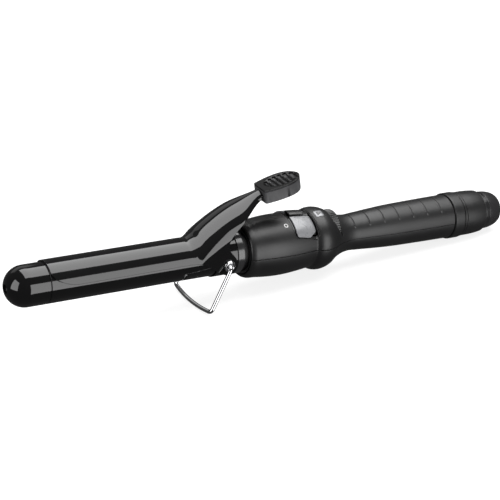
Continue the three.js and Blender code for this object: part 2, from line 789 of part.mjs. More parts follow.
/** The bail's centre line, near end to far end, in the plane that leans by STAND_LEAN. */
function standPath() {
  const place = new THREE.Matrix4()
    .makeTranslation(pivotX, 0, pivotZ)
    .multiply(new THREE.Matrix4().makeRotationY(radians(STAND_LEAN)));
  const cornerShare = 0.12;
  const bowDown = STAND_LEG + (2 * STAND_BOW) / (1 + cornerShare);
  const legLength = Math.hypot(STAND_HALF_WIDTH - hookY, STAND_LEG);
  const onLeg = (d) => [
    hookY + ((STAND_HALF_WIDTH - hookY) * d) / legLength,
    (STAND_LEG * d) / legLength,
  ];
  const half = [
    { to: [hookY - STAND_BEND_R, 0] },
    { bend: [hookY, 0], to: onLeg(STAND_BEND_R) },
    { to: onLeg(legLength - STAND_BEND_R) },
    {
      bend: [STAND_HALF_WIDTH, STAND_LEG],
      to: [
        STAND_HALF_WIDTH * (1 - cornerShare),
        THREE.MathUtils.lerp(STAND_LEG, bowDown, cornerShare),
      ],
    },
  ];
  const wireEnd = [rivetInnerY + 1, 0];
  const ends = [wireEnd, ...half.map((step) => step.to)];
  const homeward = half.map((step, i) => ({ bend: step.bend, to: ends[i] })).reverse();
  const at = (side, [y, down]) => new THREE.Vector3(0, side * y, -down).applyMatrix4(place);
  const path = new THREE.CurvePath();
  let from = at(-1, wireEnd);
  const add = (side, { bend, to }) => {
    const end = at(side, to);
    if (bend) path.add(new THREE.QuadraticBezierCurve3(from, at(side, bend), end));
    else path.add(new THREE.LineCurve3(from, end));
    from = end;
  };
  for (const step of half) add(-1, step);
  add(1, { bend: [0, bowDown], to: ends.at(-1) });
  for (const step of homeward) add(1, step);
  return path;
}

function wireStand() {
  return wire(standPath(), WIRE_R, 76, 8);
}

// ------------------------------------------------------------------ body shells

/** Outer outline of the body and grip, as [station, radius] points. */
const bodyOutline = (() => {
  const at = (x, r) => new THREE.Vector2(x, r);
  const belly = new THREE.SplineCurve([
    at(bodyFront + 1.4, shoulderR),
    at(bodyFront + 0.5 * BELLY_AT, 0.35 * shoulderR + 0.65 * BELLY_R),
    at(bodyFront + BELLY_AT, BELLY_R),
    at(bodyFront + 0.5 * (BELLY_AT + BODY_LENGTH), 0.4 * VALLEY_R + 0.6 * BELLY_R + 0.25),
    at(valleyX, VALLEY_R),
  ]);
  const bulge = new THREE.SplineCurve([
    at(valleyX + 0.6, VALLEY_R + 0.2),
    at(valleyX + 0.25 * BULGE_LENGTH, BULGE_R - 0.55),
    at(bulgeX, BULGE_R),
    at(valleyX + 0.85 * BULGE_LENGTH, BULGE_R - 0.65),
    at(valleyX + 1.12 * BULGE_LENGTH, BULGE_R - 2.1),
    at(dialX, BULGE_R - 4.3),
    at(0.5 * (dialX + neckX), NECK_R + 1.1),
    at(neckX, NECK_R),
    at(neckX + 0.2 * GRIP_LENGTH, NECK_R + 0.36 * (GRIP_R - NECK_R)),
    at(neckX + 0.48 * GRIP_LENGTH, NECK_R + 0.78 * (GRIP_R - NECK_R)),
    at(gripEnd, GRIP_R),
  ]);
  return [
    [bodyFront, frontR],
    [bodyFront + 0.4, frontR + 0.7],
    ...belly.getPoints(6).map((p) => [p.x, p.y]),
    ...bulge.getPoints(16).map((p) => [p.x, p.y]),
  ];
})();

/** The body's solid envelope between two stations, grown by an offset. */
function envelope(offset, x0 = bodyFront, x1 = gripEnd) {
  const within = bodyOutline.filter(([x]) => x > x0 && x < x1);
  const edge = [[x0, bodyRadius(x0)], ...within, [x1, bodyRadius(x1)]];
  return revolve([[x0, 0], ...edge.map(([x, r]) => [x, r + offset]), [x1, 0]]);
}

/** Where the four shell screws stand along the body. */
const screwStations = [
  bodyFront + 11,
  valleyX + 7.4,
  neckX + 0.36 * GRIP_LENGTH,
  neckX + 0.86 * GRIP_LENGTH,
];

function dialChamber() {
  const half = DIAL_WIDTH / 2 + DIAL_CLEARANCE;
  const r = DIAL_R + DIAL_CLEARANCE;
  return rod(dialX - half, dialX + half, r, { z: DIAL_RAISE, segments: 40 });
}

function switchOpening() {
  const w = SWITCH_HALF_WIDTH + GAP;
  return block(switchFront - GAP, switchRear + GAP, -w, w, SWITCH_FLOOR_Z - 2, 2 * BULGE_R);
}

/** Ring cuts across the top of the grip, one for each groove. */
function gripGrooves() {
  const far = 2 * GRIP_R;
  const across = far * Math.sin(radians(GROOVE_HALF_ANGLE));
  const up = far * Math.cos(radians(GROOVE_HALF_ANGLE));
  const wedge = new THREE.Shape();
  wedge.moveTo(0, 0);
  wedge.lineTo(across, up);
  wedge.lineTo(-across, up);
  wedge.closePath();
  const grooves = [];
  const w = GROOVE_HALF_WIDTH;
  for (let i = 0; i < GRIP_GROOVES; i += 1) {
    const x = neckX + GROOVE_SETBACK + i * GROOVE_PITCH;
    const outer = bodyRadius(x);
    const cut = ring([[x - w, outer + 1], [x, outer - GROOVE_DEPTH], [x + w, outer + 1]]);
    grooves.push(cut.intersect(crossPrism(wedge, x - 2, x + 2)));
  }
  return grooves;
}

/** Outer radius of the body at a station. */
function bodyRadius(x) {
  const i = Math.max(1, bodyOutline.findIndex((p) => p[0] >= x));
  const [a, b] = [bodyOutline[i - 1], bodyOutline[i]];
  return THREE.MathUtils.mapLinear(x, a[0], b[0], a[1], b[1]);
}

/** The whole hollow body, before it is split into its two shells. */
function hollowBody() {
  const spigotEnd = tailX - 2 * GAP;
  const spigotBore = TAIL_SPIGOT_R - TAIL_SPIGOT_WALL;
  const bushRoom = bushFlangeR + GAP;
  const outer = bodyOutline;
  const inner = outer
    .filter(([x], i) => i % 2 === 1 && x > bushFlangeRear + GAP && x < gripEnd - 1)
    .map(([x, r]) => [x, r - SHELL_WALL])
    .reverse();
  return ring([
    ...outer,
    [gripEnd, TAIL_SPIGOT_R],
    [spigotEnd, TAIL_SPIGOT_R],
    [spigotEnd, spigotBore],
    [gripEnd - 1, spigotBore],
    ...inner,
    [bushFlangeRear + GAP, bushRoom],
    [bodyFront + LIP_WIDTH, bushRoom],
    [bodyFront + LIP_WIDTH, BARREL_R],
    [bodyFront, BARREL_R],
  ]);
}

function upperShell() {
  const far = 2 * BULGE_R;
  let shell = hollowBody().intersect(block(0, swivelEnd, -far, far, GAP / 2, far));
  const inside = envelope(-0.5);
  for (const x of screwStations) {
    shell = shell.add(post(x, 0, GAP / 2, far, BOSS_R).intersect(inside));
    shell = shell.subtract(post(x, 0, -1, SHELL_SCREW_REACH + GAP, SCREW_SHANK_R + GAP));
  }
  shell = shell.subtract(dialChamber()).subtract(switchOpening());
  for (const groove of gripGrooves()) shell = shell.subtract(groove);
  return shell.subtract(markPocket());
}

function lowerShell() {
  const far = 2 * BULGE_R;
  let shell = hollowBody().intersect(block(0, swivelEnd, -far, far, -far, -GAP / 2));
  const inside = envelope(-0.5);
  const recess = SCREW_HEAD_R + GAP;
  for (const x of screwStations) {
    shell = shell.add(post(x, 0, -far, -GAP / 2, LOWER_BOSS_R).intersect(inside));
    shell = shell.subtract(post(x, 0, -far, 1, SCREW_SHANK_R + GAP));
    shell = shell.subtract(post(x, 0, -far, -SHELL_SCREW_SEAT, recess));
  }
  return shell.subtract(dialChamber());
}

function shellScrew(x) {
  const seat = -SHELL_SCREW_SEAT - GAP;
  const head = post(x, 0, seat - SHELL_SCREW_HEAD, seat, SCREW_HEAD_R);
  const shank = post(x, 0, seat - 0.5, SHELL_SCREW_REACH, SCREW_SHANK_R, 12);
  const slot = 0.4;
  const deep = seat - SHELL_SCREW_HEAD + 0.9;
  return head.add(shank).subtract(block(x - 5, x + 5, -slot, slot, -40, deep));
}

/** A square patch of the body's skin on the bulge, between two offsets. */
function bulgePatch(from, to, half) {
  const middleX = bulgeX - MARK_FORWARD;
  const [x0, x1] = [middleX - half, middleX + half];
  const skin = envelope(to, x0, x1).subtract(envelope(from, x0 - 1, x1 + 1));
  const patch = skin.intersect(block(x0, x1, -half, half, 0, 2 * BULGE_R));
  return carried(patch, new THREE.Matrix4().makeRotationX(radians(MARK_ANGLE)));
}

function markPocket() {
  return bulgePatch(-MARK_DEPTH, 1, MARK_HALF_SIZE + GAP);
}

function indexMark() {
  return bulgePatch(GAP - MARK_DEPTH, MARK_PROUD, MARK_HALF_SIZE);
}

// ------------------------------------------------------------------ switch

function switchFrame() {
  const w = SWITCH_HALF_WIDTH;
  const [x0, x1] = [switchFront, switchRear];
  const t = FRAME_WALL;
  const high = 2 * BULGE_R;
  const room = STEM_HALF_WIDTH + STEM_PLAY;
  const outside = block(x0, x1, -w, w, SWITCH_FLOOR_Z, high).intersect(envelope(0));
  const hollow = block(x0 + t, x1 - t, t - w, w - t, SWITCH_FLOOR_Z + t, high + 1);
  const stem = block(x0 + STEM_SETBACK, x1 - STEM_SETBACK, -room, room, 0, BULGE_R);
  const pins = rod(x0 - 1, x1 + 1, ROCKER_PIN_R + GAP, { z: ROCKER_PIVOT_Z });
  return outside.subtract(hollow).subtract(stem).subtract(pins);
}

const rockerX0 = switchFront + FRAME_WALL + ROCKER_SIDE_GAP;
const rockerX1 = switchRear - FRAME_WALL - ROCKER_SIDE_GAP;
const rockerHalfWidth = SWITCH_HALF_WIDTH - FRAME_WALL - 1.5 * ROCKER_SIDE_GAP;
const rockerTilt = new THREE.Matrix4()
  .makeTranslation(0, 0, ROCKER_PIVOT_Z)
  .multiply(new THREE.Matrix4().makeRotationX(radians(ROCKER_TILT)))
  .multiply(new THREE.Matrix4().makeTranslation(0, 0, -ROCKER_PIVOT_Z));

/** A layer of the rocker that follows the body's curve between two offsets. */
function rockerLayer(from, to, y0, y1) {
  const [x0, x1] = [rockerX0, rockerX1];
  const layer = envelope(to, x0, x1).subtract(envelope(from, x0 - 1, x1 + 1));
  return layer.intersect(block(x0, x1, y0, y1, ROCKER_PIVOT_Z - ROCKER_SKIRT, 2 * BULGE_R));
}

function rocker() {
  const w = rockerHalfWidth;
  const top = PLATE_PROUD - PLATE_T - GAP;
  const ridge = rockerLayer(top - 2, RIDGE_PROUD, -RIDGE_HALF_WIDTH, RIDGE_HALF_WIDTH);
  const saddle = rockerLayer(top - SADDLE_T, top, -w, w);
  const [x0, x1] = [rockerX0 + 1, rockerX1 - 1];
  const half = STEM_HALF_WIDTH;
  const under = VALLEY_R - SADDLE_T;
  const inset = STEM_SETBACK - 1;
  const stem = block(x0 + inset, x1 - inset, -half, half, SWITCH_FLOOR_Z - 1, under);
  const web = block(x0, x1, -half, half, ROCKER_PIVOT_Z, under);
  const reach = FRAME_WALL + ROCKER_SIDE_GAP - GAP;
  const axle = rod(rockerX0 - reach, rockerX1 + reach, ROCKER_PIN_R, {
    z: ROCKER_PIVOT_Z,
    segments: 16,
  });
  return carried(ridge.add(saddle).add(web).add(stem).add(axle), rockerTilt);
}

function rockerPlate(side) {
  const [from, to] = [RIDGE_HALF_WIDTH + GAP, rockerHalfWidth];
  const [y0, y1] = side > 0 ? [from, to] : [-to, -from];
  const layer = rockerLayer(PLATE_PROUD - PLATE_T, PLATE_PROUD, y0, y1);
  return carried(layer, rockerTilt);
}

function switchModule() {
  const x = 0.5 * (switchFront + switchRear);
  const [l, w] = [MODULE_HALF_LENGTH, MODULE_HALF_WIDTH];
  const z0 = BOARD_Z + BOARD_T + GAP;
  return block(x - l, x + l, -w, w, z0, SWITCH_FLOOR_Z - 1 - 2 * GAP);
}

function circuitBoard() {
  const w = BOARD_HALF_WIDTH;
  return block(boardFront, boardRear, -w, w, BOARD_Z, BOARD_Z + BOARD_T);
}

function capacitor() {
  const z1 = BOARD_Z - GAP;
  const x = boardFront + CAPACITOR_SETBACK;
  const [y0, y1] = [CAPACITOR_Y - CAPACITOR_WIDTH / 2, CAPACITOR_Y + CAPACITOR_WIDTH / 2];
  return block(x, x + CAPACITOR_LENGTH, y0, y1, z1 - CAPACITOR_HEIGHT, z1);
}

function triac() {
  const z1 = BOARD_Z - GAP;
  const x = boardFront + TRIAC_SETBACK;
  const [y0, y1] = [TRIAC_Y - TRIAC_WIDTH / 2, TRIAC_Y + TRIAC_WIDTH / 2];
  const tab = block(x, x + TRIAC_TAB_T, y0, y1, z1 - TRIAC_TAB_HEIGHT, z1);
  const x1 = x + TRIAC_TAB_T + TRIAC_BODY_T;
  return tab.add(block(x + 1, x1, y0 + EDGE, y1 - EDGE, z1 - TRIAC_BODY_HEIGHT, z1));
}

// ------------------------------------------------------------------ dial

/** Knurled outline of the dial wheel, about its own centre. */
function dialOutline() {
  const shape = new THREE.Shape();
  const points = 2 * DIAL_TEETH;
  for (let i = 0; i < points; i += 1) {
    const a = (2 * Math.PI * i) / points;
    const r = i % 2 === 0 ? DIAL_R : DIAL_R - DIAL_TOOTH_DEPTH;
    const at = [r * Math.sin(a), DIAL_RAISE + r * Math.cos(a)];
    if (i === 0) shape.moveTo(...at);
    else shape.lineTo(...at);
  }
  shape.closePath();
  return shape;
}

function dialWheel() {
  const half = DIAL_WIDTH / 2;
  const [x0, x1] = [dialX - DIAL_WIDTH, dialX + DIAL_WIDTH];
  const bore = rod(x0, x1, DIAL_BORE_R, { z: DIAL_RAISE, segments: 36 });
  return crossPrism(dialOutline(), dialX - half, dialX + half).subtract(bore);
}

const wiperX = dialX - DIAL_WIDTH / 2 - GAP - WIPER_T;
const trackX = wiperX - GAP - TRACK_T;

function dialWiper() {
  const z = DIAL_RAISE - DIAL_BORE_R - WIPER_REACH;
  const [w, h] = [WIPER_HALF_WIDTH, WIPER_HALF_HEIGHT];
  return block(wiperX, wiperX + WIPER_T, -w, w, z - h, z + h);
}

function trackBoard() {
  const flat = tube(trackX, trackX + TRACK_T, DIAL_BORE_R, TRACK_R, 36);
  return carried(flat, new THREE.Matrix4().makeTranslation(0, 0, DIAL_RAISE));
}

function dialCarrier() {
  const outer = DIAL_BORE_R - GAP;
  const bore = outer - CARRIER_WALL;
  const front = dialX + DIAL_WIDTH / 2 + DIAL_CLEARANCE + GAP;
  const rear = front + CARRIER_FLANGE;
  const flangeR = bodyRadius(rear) - SHELL_WALL - 1.5 * GAP;
  const barrel = rod(trackX, rear, outer, { z: DIAL_RAISE, segments: 36 });
  const disc = rod(front, rear, flangeR, { segments: 36 });
  const inside = envelope(-SHELL_WALL - GAP, trackX - 1, rear + 1);
  const hole = rod(trackX - 1, rear + 1, bore, { z: DIAL_RAISE, segments: 36 });
  return barrel.add(disc).intersect(inside).subtract(hole);
}

// ------------------------------------------------------------------ leads

/** A lead that runs back along the iron through the given points. */
function lead(points) {
  const path = new THREE.CatmullRomCurve3(points.map((p) => new THREE.Vector3(...p)));
  return wire(path, LEAD_R, 4 * points.length, 6);
}

function heaterLead(side) {
  const x0 = coreRear + TAB_LENGTH + GAP;
  const z = side * (electrodeZ + ELECTRODE_THICKNESS / 2);
  const y = -side * LEAD_Y;
  const x1 = boardFront - GAP;
  const middle = 0.5 * (x0 + x1);
  return lead([[x0, y, z], [middle, y, z + 0.3], [x1, y, BOARD_Z + BOARD_T / 2]]);
}

function sensorLead() {
  const x0 = coreRear + GAP + SENSOR_LENGTH + GAP;
  const x1 = boardFront - 2 * GAP;
  const z = BOARD_Z + BOARD_T / 2;
  const y = SENSOR_LEAD_Y;
  return lead([
    [x0, 0, -SENSOR_DEPTH],
    [x0 + 5, 2, -SENSOR_DEPTH + 0.5],
    [x1 - 13, y - 2.1, -SENSOR_DEPTH + 2.9],
    [x1 - 1, y - 0.2, z - 1],
    [x1, y, z],
  ]);
}

function supplyLead(side) {
  const x0 = boardRear + GAP;
  const x1 = contactBlockX - GAP;
  const y = side * LEAD_Y;
  const z = LEAD_Z;
  const third = (x1 - x0) / 3;
  return lead([[x0, y, z], [x0 + third, y, z], [x1 - third, y, z + 0.2], [x1, y, z - 0.4]]);
}

// ------------------------------------------------------------------ tail and swivel

const swivelFlangeX = tailEnd - TAIL_WALL - GAP - SWIVEL_FLANGE_WIDTH;
const slipRingX = swivelFlangeX - GAP - SLIP_RING_T;
const contactBlockX = slipRingX - BLOCK_GAP - BLOCK_LENGTH;

function tailBand() {
  const inner = TAIL_SPIGOT_R + GAP;
  const [x0, x1] = [tailBandX, tailBandX + BAND_LENGTH];
  return ring([
    [x0, inner],
    [x0, TAIL_BAND_R - BAND_EDGE],
    [x0 + BAND_EDGE, TAIL_BAND_R],
    [x1 - BAND_EDGE, TAIL_BAND_R],
    [x1, TAIL_BAND_R - BAND_EDGE],
    [x1, inner],
  ]);
}

function trimRing() {
  return tube(trimX, trimX + TRIM_WIDTH, TAIL_SPIGOT_R + GAP, TRIM_R);
}

/** Where the tail eases in from its full radius, as [station, radius] points. */
const tailOutline = [
  [tailX + TAIL_SHOULDER * TAIL_LENGTH, TAIL_R],
  [tailX + TAIL_EASE * TAIL_LENGTH, TAIL_R - TAIL_EASE_DROP],
  [tailEnd - TAIL_ROUND, TAIL_END_R + EDGE],
];

function tailShell() {
  const bore = SWIVEL_NECK_R + GAP;
  const inner = SWIVEL_FLANGE_R + GAP;
  const wall = tailEnd - TAIL_WALL;
  return ring([
    [tailX, inner],
    [tailX, TAIL_R],
    ...tailOutline,
    [tailEnd, TAIL_END_R - EDGE],
    [tailEnd, bore],
    [wall, bore],
    [wall, inner],
  ]);
}

function swivelOutlet() {
  const flangeEnd = swivelFlangeX + SWIVEL_FLANGE_WIDTH;
  const dome = new THREE.CubicBezierCurve(
    new THREE.Vector2(swivelX + 3, SWIVEL_R),
    new THREE.Vector2(swivelX + 9, SWIVEL_R - 0.2),
    new THREE.Vector2(swivelEnd - 1.2, OUTLET_FACE_R + 3.2),
    new THREE.Vector2(swivelEnd, OUTLET_FACE_R),
  );
  return ring([
    [swivelFlangeX, CORD_BORE_R],
    [swivelFlangeX, SWIVEL_FLANGE_R],
    [flangeEnd, SWIVEL_FLANGE_R],
    [flangeEnd, SWIVEL_NECK_R],
    [swivelX, SWIVEL_NECK_R],
    [swivelX, SWIVEL_R - EDGE],
    [swivelX + EDGE, SWIVEL_R],
    ...dome.getPoints(6).map((p) => [p.x, p.y]),
    [swivelEnd, CORD_BORE_R],
  ]);
}

const innerTrack = CORD_BORE_R + TRACK_INNER;
const outerTrack = innerTrack + TRACK_GAP;

function slipRing(inner, outer) {
  return tube(slipRingX, slipRingX + SLIP_RING_T, inner, outer, 24);
}

function contactBlock() {
  return tube(contactBlockX, contactBlockX + BLOCK_LENGTH, BLOCK_BORE_R, BLOCK_R, 24);
}

function brush(y) {
  const x0 = contactBlockX + BLOCK_LENGTH + GAP;
  const [w, h] = [BRUSH_HALF_WIDTH, BRUSH_HALF_HEIGHT];
  return block(x0, slipRingX - GAP, y - w, y + w, -h, h);
}

// ------------------------------------------------------------------ assembly

piece("barrel_tube", barrelTube(), glossBlack);
piece("tip_cap", tipCap(), glossBlack);
piece("tip_screw", tipScrew(), steel);
piece("front_spacer", frontSpacer(), ceramic);
piece("heater_bar", heaterBar(), ceramic);
piece("electrode_upper", electrode(1), aluminium);
piece("electrode_lower", electrode(-1), aluminium);
piece("heater_sleeve", heaterSleeve(), leadWhite);
piece("heat_spreader_upper", heatSpreader(1), aluminium);
piece("heat_spreader_lower", heatSpreader(-1), aluminium);
piece("thermal_fuse", thermalFuse(), ceramic);
piece("thermistor", thermistor(), leadWhite);
piece("barrel_collar", collar(), darkCollar);
piece("pivot_band", pivotBand(), glossBlack);
piece("insulator_bush", insulatorBush(), heatBlack);
piece("clamp", clamp(), glossBlack);
piece("thumb_rest", thumbRest(), softBlack);
piece("clamp_spring", clampSpring(), springBrass);
piece("rivet_near", rivet(-1), chrome);
piece("rivet_far", rivet(1), chrome);
piece("wire_stand", wireStand(), chrome);
piece("body_shell_upper", upperShell(), softBlack);
piece("body_shell_lower", lowerShell(), softBlack);
screwStations.forEach((x, i) => piece(`shell_screw_${i + 1}`, shellScrew(x), steel));
piece("index_mark", indexMark(), silver);
piece("switch_frame", switchFrame(), heatBlack);
piece("switch_rocker", rocker(), blackPart);
piece("rocker_plate_near", rockerPlate(-1), silver);
piece("rocker_plate_far", rockerPlate(1), silver);
piece("switch_module", switchModule(), blackPart);
piece("circuit_board", circuitBoard(), boardGreen);
piece("film_capacitor", capacitor(), leadBlue);
piece("triac", triac(), blackPart);
piece("dial_wheel", dialWheel(), blackPart);
piece("dial_wiper", dialWiper(), springBrass);
piece("dial_track_board", trackBoard(), boardGreen);
piece("dial_carrier", dialCarrier(), heatBlack);
piece("heater_lead_live", heaterLead(1), leadBrown);
piece("heater_lead_neutral", heaterLead(-1), leadBlue);
piece("sensor_lead", sensorLead(), leadWhite);
piece("supply_lead_live", supplyLead(1), leadBrown);
piece("supply_lead_neutral", supplyLead(-1), leadBlue);
piece("tail_band", tailBand(), softBlack);
piece("tail_trim_ring", trimRing(), glossBlack);
piece("tail_shell", tailShell(), softBlack);
piece("swivel_outlet", swivelOutlet(), softBlack);
piece("slip_ring_inner", slipRing(CORD_BORE_R + GAP, innerTrack), springBrass);
piece("slip_ring_outer", slipRing(outerTrack, outerTrack + TRACK_WIDTH), springBrass);
piece("contact_block", contactBlock(), heatBlack);
piece("contact_brush_live", brush(innerTrack - TRACK_INNER / 2), springBrass);
piece("contact_brush_neutral", brush(-(outerTrack + TRACK_WIDTH / 2)), springBrass);

// ------------------------------------------------------------------ rest attitude

/** Pitch, in radians, at which the stand's bar and the tail rest on one plane. */
function restPitch() {
  const lean = radians(STAND_LEAN);
  const drop = STAND_LEG + STAND_BOW;
  const footX = pivotX - drop * Math.sin(lean);
  const footZ = pivotZ - drop * Math.cos(lean);
  const tails = [
    [tailBandX + BAND_LENGTH - BAND_EDGE, TAIL_BAND_R],
    ...tailOutline,
  ];
  const slopes = tails.map(([x, r]) => {
    const span = Math.hypot(x - footX, -r - footZ);
    return Math.atan2(-r - footZ, x - footX) + Math.asin(WIRE_R / span);
  });
  return Math.min(...slopes);
}

const iron = new THREE.Group();
iron.add(root);
iron.rotation.y = restPitch();
iron.updateMatrixWorld(true);

const bounds = new THREE.Box3().setFromObject(iron, true);
const middle = bounds.getCenter(new THREE.Vector3());
const part = new THREE.Group();
iron.position.set(-middle.x, -middle.y, -bounds.min.z);
part.add(iron);

export default part;
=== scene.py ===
"""A ceramic curling iron on its wire stand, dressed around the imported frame.

Every sub-assembly is a class. Its sizes are fields in millimetres, in the barrel's own axis
frame: x runs back from the tip, y is across and z is up. AxisFrame carries them to the
frame's metres. Angles go round the barrel from the top, and grow towards the far side.
"""

import json
import logging
import math
from collections.abc import Callable, Iterable, Sequence
from dataclasses import dataclass, field
from enum import Enum

import bmesh
import bpy
import numpy as np
from mathutils import Matrix, Vector
from mathutils.geometry import delaunay_2d_cdt

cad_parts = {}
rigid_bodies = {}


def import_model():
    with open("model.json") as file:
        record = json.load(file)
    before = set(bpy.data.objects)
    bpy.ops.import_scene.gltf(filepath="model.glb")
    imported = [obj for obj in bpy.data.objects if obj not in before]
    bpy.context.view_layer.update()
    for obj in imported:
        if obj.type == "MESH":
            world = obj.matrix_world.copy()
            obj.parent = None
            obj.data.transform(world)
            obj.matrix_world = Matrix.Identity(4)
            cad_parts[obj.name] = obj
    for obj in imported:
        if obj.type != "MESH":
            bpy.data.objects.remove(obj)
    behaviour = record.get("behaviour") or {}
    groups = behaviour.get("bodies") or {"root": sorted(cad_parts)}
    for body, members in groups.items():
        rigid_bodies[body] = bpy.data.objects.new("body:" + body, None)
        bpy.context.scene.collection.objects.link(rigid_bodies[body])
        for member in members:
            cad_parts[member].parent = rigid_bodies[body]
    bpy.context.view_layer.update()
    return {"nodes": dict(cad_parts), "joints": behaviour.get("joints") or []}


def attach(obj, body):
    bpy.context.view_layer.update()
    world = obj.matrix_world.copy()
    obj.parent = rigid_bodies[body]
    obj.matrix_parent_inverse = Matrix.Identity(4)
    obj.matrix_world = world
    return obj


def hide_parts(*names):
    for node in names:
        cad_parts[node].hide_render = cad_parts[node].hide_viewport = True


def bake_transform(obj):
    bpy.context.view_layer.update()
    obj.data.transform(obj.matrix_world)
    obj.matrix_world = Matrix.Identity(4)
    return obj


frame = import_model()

log = logging.getLogger("curling_iron")

MM = 0.001
GAP = 0.3
SCREWS = 4

BLUER = 1.04
SHARP = math.radians(38.0)
TINY = 1e-6
ROUND_SHARE = 0.48
CORNER_STEPS = 5
SLOPE_STEP = 1e-3

Point = tuple[float, float]
Color = tuple[float, float, float]
Surface = Callable[[np.ndarray], np.ndarray]


# ---------------------------------------------------------------- the barrel's axis frame


@dataclass(frozen=True)
class Span:
    """The extent of a frame node along the barrel's own axes, in millimetres."""

    low: Vector
    high: Vector

    @property
    def front(self) -> float:
        """Station of the end nearer the tip."""
        return self.low.x

    @property
    def rear(self) -> float:
        """Station of the end nearer the outlet."""
        return self.high.x

    @property
    def radius(self) -> float:
        """Half of its width across the iron."""
        return 0.5 * (self.high.y - self.low.y)


class AxisFrame:
    """Carries millimetres along the barrel's axes to the frame's metres."""

    rim_depth = 0.05
    ring_slack = 0.02
    outward = 0.4

    def __init__(self, joints: Sequence[dict], nodes: dict[str, bpy.types.Object]) -> None:
        """Reads the axis from the dial's joint and the zero station from the tip cap.

        Args:
            joints: The frame's joints.
            nodes: The frame's nodes by name.
        """
        by_name = {joint["name"]: joint for joint in joints}
        along = Vector(by_name["dial_spin"]["axis"]).normalized()
        across = Vector((0.0, 1.0, 0.0))
        turn = Matrix((along, across, along.cross(across))).transposed()
        anchor = Matrix.Translation(Vector(by_name["cord_swivel"]["pos_m"]))
        self.turn = turn
        self.nodes = nodes
        self.joints = by_name
        self.matrix = anchor @ turn.to_4x4() @ Matrix.Scale(MM, 4)
        self.matrix = self.matrix @ Matrix.Translation((self._dome_apex(), 0.0, 0.0))

    def _dome_apex(self) -> float:
        """Where the tip's dome would meet the axis, ahead of its screw recess."""
        points = self.points("tip_cap")
        front = points[:, 0].min()
        full = self.span("barrel_tube").radius
        radii = np.hypot(points[:, 1], points[:, 2])
        rim = radii[points[:, 0] < front + self.rim_depth].max()
        return float(front - full + math.sqrt(full**2 - rim**2))

    def points(self, node: str) -> np.ndarray:
        """A node's vertices along the barrel's axes.

        Args:
            node: Name of the frame node.

        Returns:
            An array of points in millimetres.
        """
        mesh = self.nodes[node].data
        flat = np.zeros(3 * len(mesh.vertices))
        mesh.vertices.foreach_get("co", flat)
        back = np.array(self.matrix.inverted())
        return flat.reshape(-1, 3) @ back[:3, :3].T + back[:3, 3]

    def span(self, node: str) -> Span:
        """The extent of a node, see Span."""
        points = self.points(node)
        return Span(Vector(points.min(0)), Vector(points.max(0)))

    def pivot(self, joint: str) -> Vector:
        """A joint's pivot, in millimetres along the barrel's axes."""
        return self.matrix.inverted() @ Vector(self.joints[joint]["pos_m"])

    def outer_profile(self, node: str, least: int = 14) -> list[Point]:
        """The turned outline of a node, as stations and radii.

        Args:
            node: Name of the frame node.
            least: How many vertices a ring of the outline has at least.

        Returns:
            (station, radius) pairs from front to rear.
        """
        points = self.points(node)
        turn = np.array(self.turn)
        facing = set()
        for face in self.nodes[node].data.polygons:
            corners = list(face.vertices)
            _, y, z = points[corners].mean(0)
            _, along_y, along_z = np.array(face.normal) @ turn
            if y * along_y + z * along_z > self.outward * math.hypot(y, z):
                facing.update(corners)
        points = points[sorted(facing)]
        stations = np.round(points[:, 0], 1)
        radii = np.hypot(points[:, 1], points[:, 2])
        outline = []
        for station in np.unique(stations):
            ring = radii[stations == station]
            if np.count_nonzero(ring > ring.max() - self.ring_slack) >= least:
                outline.append((float(station), float(ring.max())))
        return outline


# ---------------------------------------------------------------- shader groups and finishes


class Mark(Enum):
    """The shared surface effects that a finish can call on."""

    GRAIN = "moulded_grain"
    WEAR = "edge_wear"
    HANDLING = "handling_film"


def group_with(
    name: str, inputs: Iterable[tuple[str, str, float]], outputs: Iterable[tuple[str, str]]
) -> tuple[bpy.types.NodeTree, bpy.types.Node, bpy.types.Node]:
    """A new shader node group with named sockets.

    Args:
        name: The group's name.
        inputs: Name, socket type and default of each input.
        outputs: Name and socket type of each output.

    Returns:
        The group, its input node and its output node.
    """
    tree = bpy.data.node_groups.new(name, "ShaderNodeTree")
    for label, kind, value in inputs:
        socket = tree.interface.new_socket(name=label, in_out="INPUT", socket_type=kind)
        socket.default_value = value
    for label, kind in outputs:
        tree.interface.new_socket(name=label, in_out="OUTPUT", socket_type=kind)
    return tree, tree.nodes.new("NodeGroupInput"), tree.nodes.new("NodeGroupOutput")


def link(source: bpy.types.Node, output: str, target: bpy.types.Node, socket: str | int) -> None:
    """Links one node's output to another's input."""
    tree = target.id_data
    tree.links.new(source.outputs[output], target.inputs[socket])


def grain_group() -> bpy.types.NodeTree:
    """Fine grain of a moulded or coated surface.

    Returns:
        A group with a Scale input and a Height output between 0 and 1.
    """
    tree, given, result = group_with(
        Mark.GRAIN.value,
        [("Scale", "NodeSocketFloat", 900.0), ("Roughen", "NodeSocketFloat", 0.6)],
        [("Height", "NodeSocketFloat")],
    )
    place = tree.nodes.new("ShaderNodeTexCoord")
    cells = tree.nodes.new("ShaderNodeTexVoronoi")
    cells.feature = "SMOOTH_F1"
    noise = tree.nodes.new("ShaderNodeTexNoise")
    noise.inputs["Detail"].default_value = 4.0
    mix = tree.nodes.new("ShaderNodeMix")
    for texture in (cells, noise):
        link(place, "Object", texture, "Vector")
        link(given, "Scale", texture, "Scale")
    link(given, "Roughen", mix, "Factor")
    link(cells, "Distance", mix, "A")
    link(noise, "Fac", mix, "B")
    link(mix, "Result", result, "Height")
    return tree


